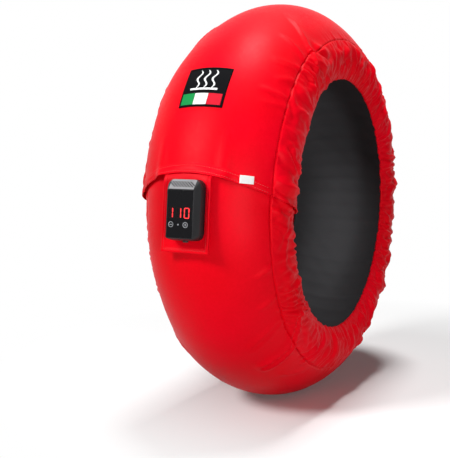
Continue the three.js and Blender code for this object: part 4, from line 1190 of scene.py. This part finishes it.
def prism(outline, low, high):
    """The points and faces of an upright prism over an outline in the pad's plane."""
    count = len(outline)
    points = [(x, y, low) for x, y in outline] + [(x, y, high) for x, y in outline]
    faces = [list(range(count))[::-1], list(range(count, 2 * count))]
    for k in range(count):
        after = (k + 1) % count
        faces.append([k, after, count + after, count + k])
    return points, faces


def segment_outline(x0, y0, x1, y1, half):
    """A display segment: a bar with pointed ends."""
    way = np.array([x1 - x0, y1 - y0], float)
    way /= np.linalg.norm(way)
    beside = np.array([-way[1], way[0]])
    start, end = np.array([x0, y0]), np.array([x1, y1])
    return [start, start + way * half - beside * half, end - way * half - beside * half, end,
            end - way * half + beside * half, start + way * half + beside * half]


DIGIT_HEIGHT = 15
DIGIT_WIDTH = 8.5
DIGIT_PITCH = 13.2
DIGITS_CENTRE = FACE_UP + 1.4
DIGIT_HALF_STROKE = 0.62
FIGURE_SEGMENTS = {1: "bc", 0: "abcdef"}


def make_digits():
    half_w, half_h = DIGIT_WIDTH / 2 - DIGIT_HALF_STROKE, DIGIT_HEIGHT / 2 - DIGIT_HALF_STROKE
    gap = 0.25
    runs = {
        "a": (-half_w, half_h, half_w, half_h),
        "b": (half_w, half_h, half_w, 0),
        "c": (half_w, 0, half_w, -half_h),
        "d": (half_w, -half_h, -half_w, -half_h),
        "e": (-half_w, -half_h, -half_w, 0),
        "f": (-half_w, 0, -half_w, half_h),
        "g": (-half_w, 0, half_w, 0),
    }
    unlit = ([], [])
    for place, figure in enumerate((1, 1, 0)):
        centre = CASE_OFFSET - 2 + (place - 1) * DIGIT_PITCH
        lit = ([], [])
        for letter, (x0, y0, x1, y1) in runs.items():
            way = np.sign([x1 - x0, y1 - y0]) * gap
            start = (x0 + way[0] + centre, y0 + way[1] + DIGITS_CENTRE)
            end = (x1 - way[0] + centre, y1 - way[1] + DIGITS_CENTRE)
            on = letter in FIGURE_SEGMENTS[figure]
            top = PRINT_FROM + (PRINT_THICKNESS if on else 0.1)
            outline = segment_outline(*start, *end, DIGIT_HALF_STROKE)
            points, faces = prism(outline, PRINT_FROM - 0.28, top)
            held = lit if on else unlit
            base = len(held[0])
            held[0].extend(points)
            held[1].extend([[base + k for k in face] for face in faces])
        obj = facing_out(new_object(f"lit_digit_{place + 1}", in_pad_plane(lit[0]), lit[1], smooth=False))
        finish_piece(obj, LIT, "red_light", f"display_digit_{place + 1}")
    obj = facing_out(new_object("unlit_segments", in_pad_plane(unlit[0]), unlit[1], smooth=False))
    finish_piece(obj, UNLIT, "black_window")


# Materials of the CAD nodes that stay
KEPT_LOOKS = {
    "heating_element": COPPER,
    "temperature_sensor": STEEL,
    "loop_strip": HOOK_TAPE,
    "hook_strip": HOOK_TAPE,
    "pad_backing_plate": CASE_BLACK,
    "case_gasket": RUBBER,
    "circuit_board": BOARD,
    "display_module": RUBBER,
    "key_down_ring": MARK_GREY,
    "key_down_sign": MARK_GREY,
    "key_up_ring": MARK_GREY,
    "key_up_sign": MARK_GREY,
    "status_light": MARK_GREY,
    "power_inlet": RUBBER,
    "heater_lead": RUBBER,
    "case_screw_1": STEEL,
    "case_screw_2": STEEL,
    "case_screw_3": STEEL,
    "case_screw_4": STEEL,
}


def dress_nodes():
    for node, look in KEPT_LOOKS.items():
        obj = bpy.data.objects[node]
        obj.data.materials.clear()
        obj.data.materials.append(look)


# Stage
CAMERA_PLACE = (0.6566, -1.4577, 0.1294)
CAMERA_RIGHT = (0.8835, 0.4684, 0)
CAMERA_BACK = (0.4655, -0.8781, 0.1108)
CAMERA_LENS = 72.2
FLOOR_Z = -0.3345
FLOOR_WHITE = (0.97, 0.97, 0.97)
FLOOR_BOUNCE = (0.42, 0.42, 0.42)
SHADOW_MIDDLE = (0.08, 0.22, 0)
FLOOR_FADE_FROM = 0.3
FLOOR_FADE_TO = 0.72
FLOOR_HALF = 8
WORLD_FILL = 0.03
LAMPS = (
    ("key_lamp", (-1.0, -2.3, 1.5), 0.8, 60),
    ("side_lamp", (1.5, -1.8, 0.1), 0.4, 22),
    ("top_lamp", (0.1, 0.1, 2.6), 0.7, 62),
)


def make_camera():
    data = bpy.data.cameras.new("camera")
    data.lens = CAMERA_LENS
    data.sensor_width = 36
    camera = bpy.data.objects.new("camera", data)
    right = Vector(CAMERA_RIGHT).normalized()
    back = Vector(CAMERA_BACK).normalized()
    up = back.cross(right)
    turn = Matrix((right, up, back)).transposed()
    camera.matrix_world = Matrix.Translation(CAMERA_PLACE) @ turn.to_4x4()
    data.clip_start = 0.05
    data.clip_end = 50
    bpy.context.scene.collection.objects.link(camera)
    bpy.context.scene.camera = camera


def make_floor():
    corners = [(x * FLOOR_HALF, y * FLOOR_HALF, 0) for x, y in ((-1, -1), (1, -1), (1, 1), (-1, 1))]
    floor = new_object("floor", corners, [[0, 1, 2, 3]], scale=1)
    floor.location.z = FLOOR_Z
    material = bpy.data.materials.new("floor_white")
    tree, shader = nodes_of(material)
    seen = seen_ray(tree)
    tree.links.new(colour_between(tree, seen, FLOOR_BOUNCE, FLOOR_WHITE), shader.inputs["Base Color"])
    shader.inputs["Roughness"].default_value = 0.9
    shader.inputs["Specular IOR Level"].default_value = 0.1
    place = add_node(tree, "ShaderNodeTexCoord").outputs["Object"]
    apart = add_node(tree, "ShaderNodeVectorMath", operation="DISTANCE")
    apart.inputs[1].default_value = SHADOW_MIDDLE
    tree.links.new(place, apart.inputs[0])
    fade = ranged(tree, apart.outputs["Value"], FLOOR_FADE_FROM, FLOOR_FADE_TO, 0, 1)
    glow = add_node(tree, "ShaderNodeEmission", Strength=1.0)
    mix = add_node(tree, "ShaderNodeMixShader")
    tree.links.new(maths(tree, "MULTIPLY", fade, seen), mix.inputs[0])
    tree.links.new(shader.outputs["BSDF"], mix.inputs[1])
    tree.links.new(glow.outputs["Emission"], mix.inputs[2])
    tree.links.new(mix.outputs["Shader"], tree.nodes["Material Output"].inputs["Surface"])
    floor.data.materials.append(material)


def seen_ray(tree):
    path = add_node(tree, "ShaderNodeLightPath")
    either = maths(tree, "MAXIMUM", path.outputs["Is Camera Ray"], path.outputs["Is Glossy Ray"])
    return maths(tree, "MAXIMUM", either, path.outputs["Is Transmission Ray"])


def make_world():
    world = bpy.data.worlds.new("studio")
    bpy.context.scene.world = world
    world.use_nodes = True
    tree = world.node_tree
    background = tree.nodes["Background"]
    background.inputs["Color"].default_value = (1, 1, 1, 1)
    tree.links.new(ranged(tree, seen_ray(tree), 0, 1, WORLD_FILL, 1), background.inputs["Strength"])


def make_lamps():
    for name, place, size, power in LAMPS:
        data = bpy.data.lights.new(name, "AREA")
        data.shape = "DISK"
        data.size = size
        data.energy = power
        lamp = bpy.data.objects.new(name, data)
        lamp.location = place
        lamp.rotation_euler = (Vector((0, 0, 0)) - Vector(place)).to_track_quat("-Z", "Y").to_euler()
        bpy.context.scene.collection.objects.link(lamp)


make_camera()
make_tread()
make_wadding()
make_seam_folds()
make_skirts()
make_lining()
make_flap_stitches()
make_pad()
make_badge()
make_label()
make_controller()
make_digits()
dress_nodes()
make_floor()
make_world()
make_lamps()
bpy.context.scene.view_settings.view_transform = "Standard"
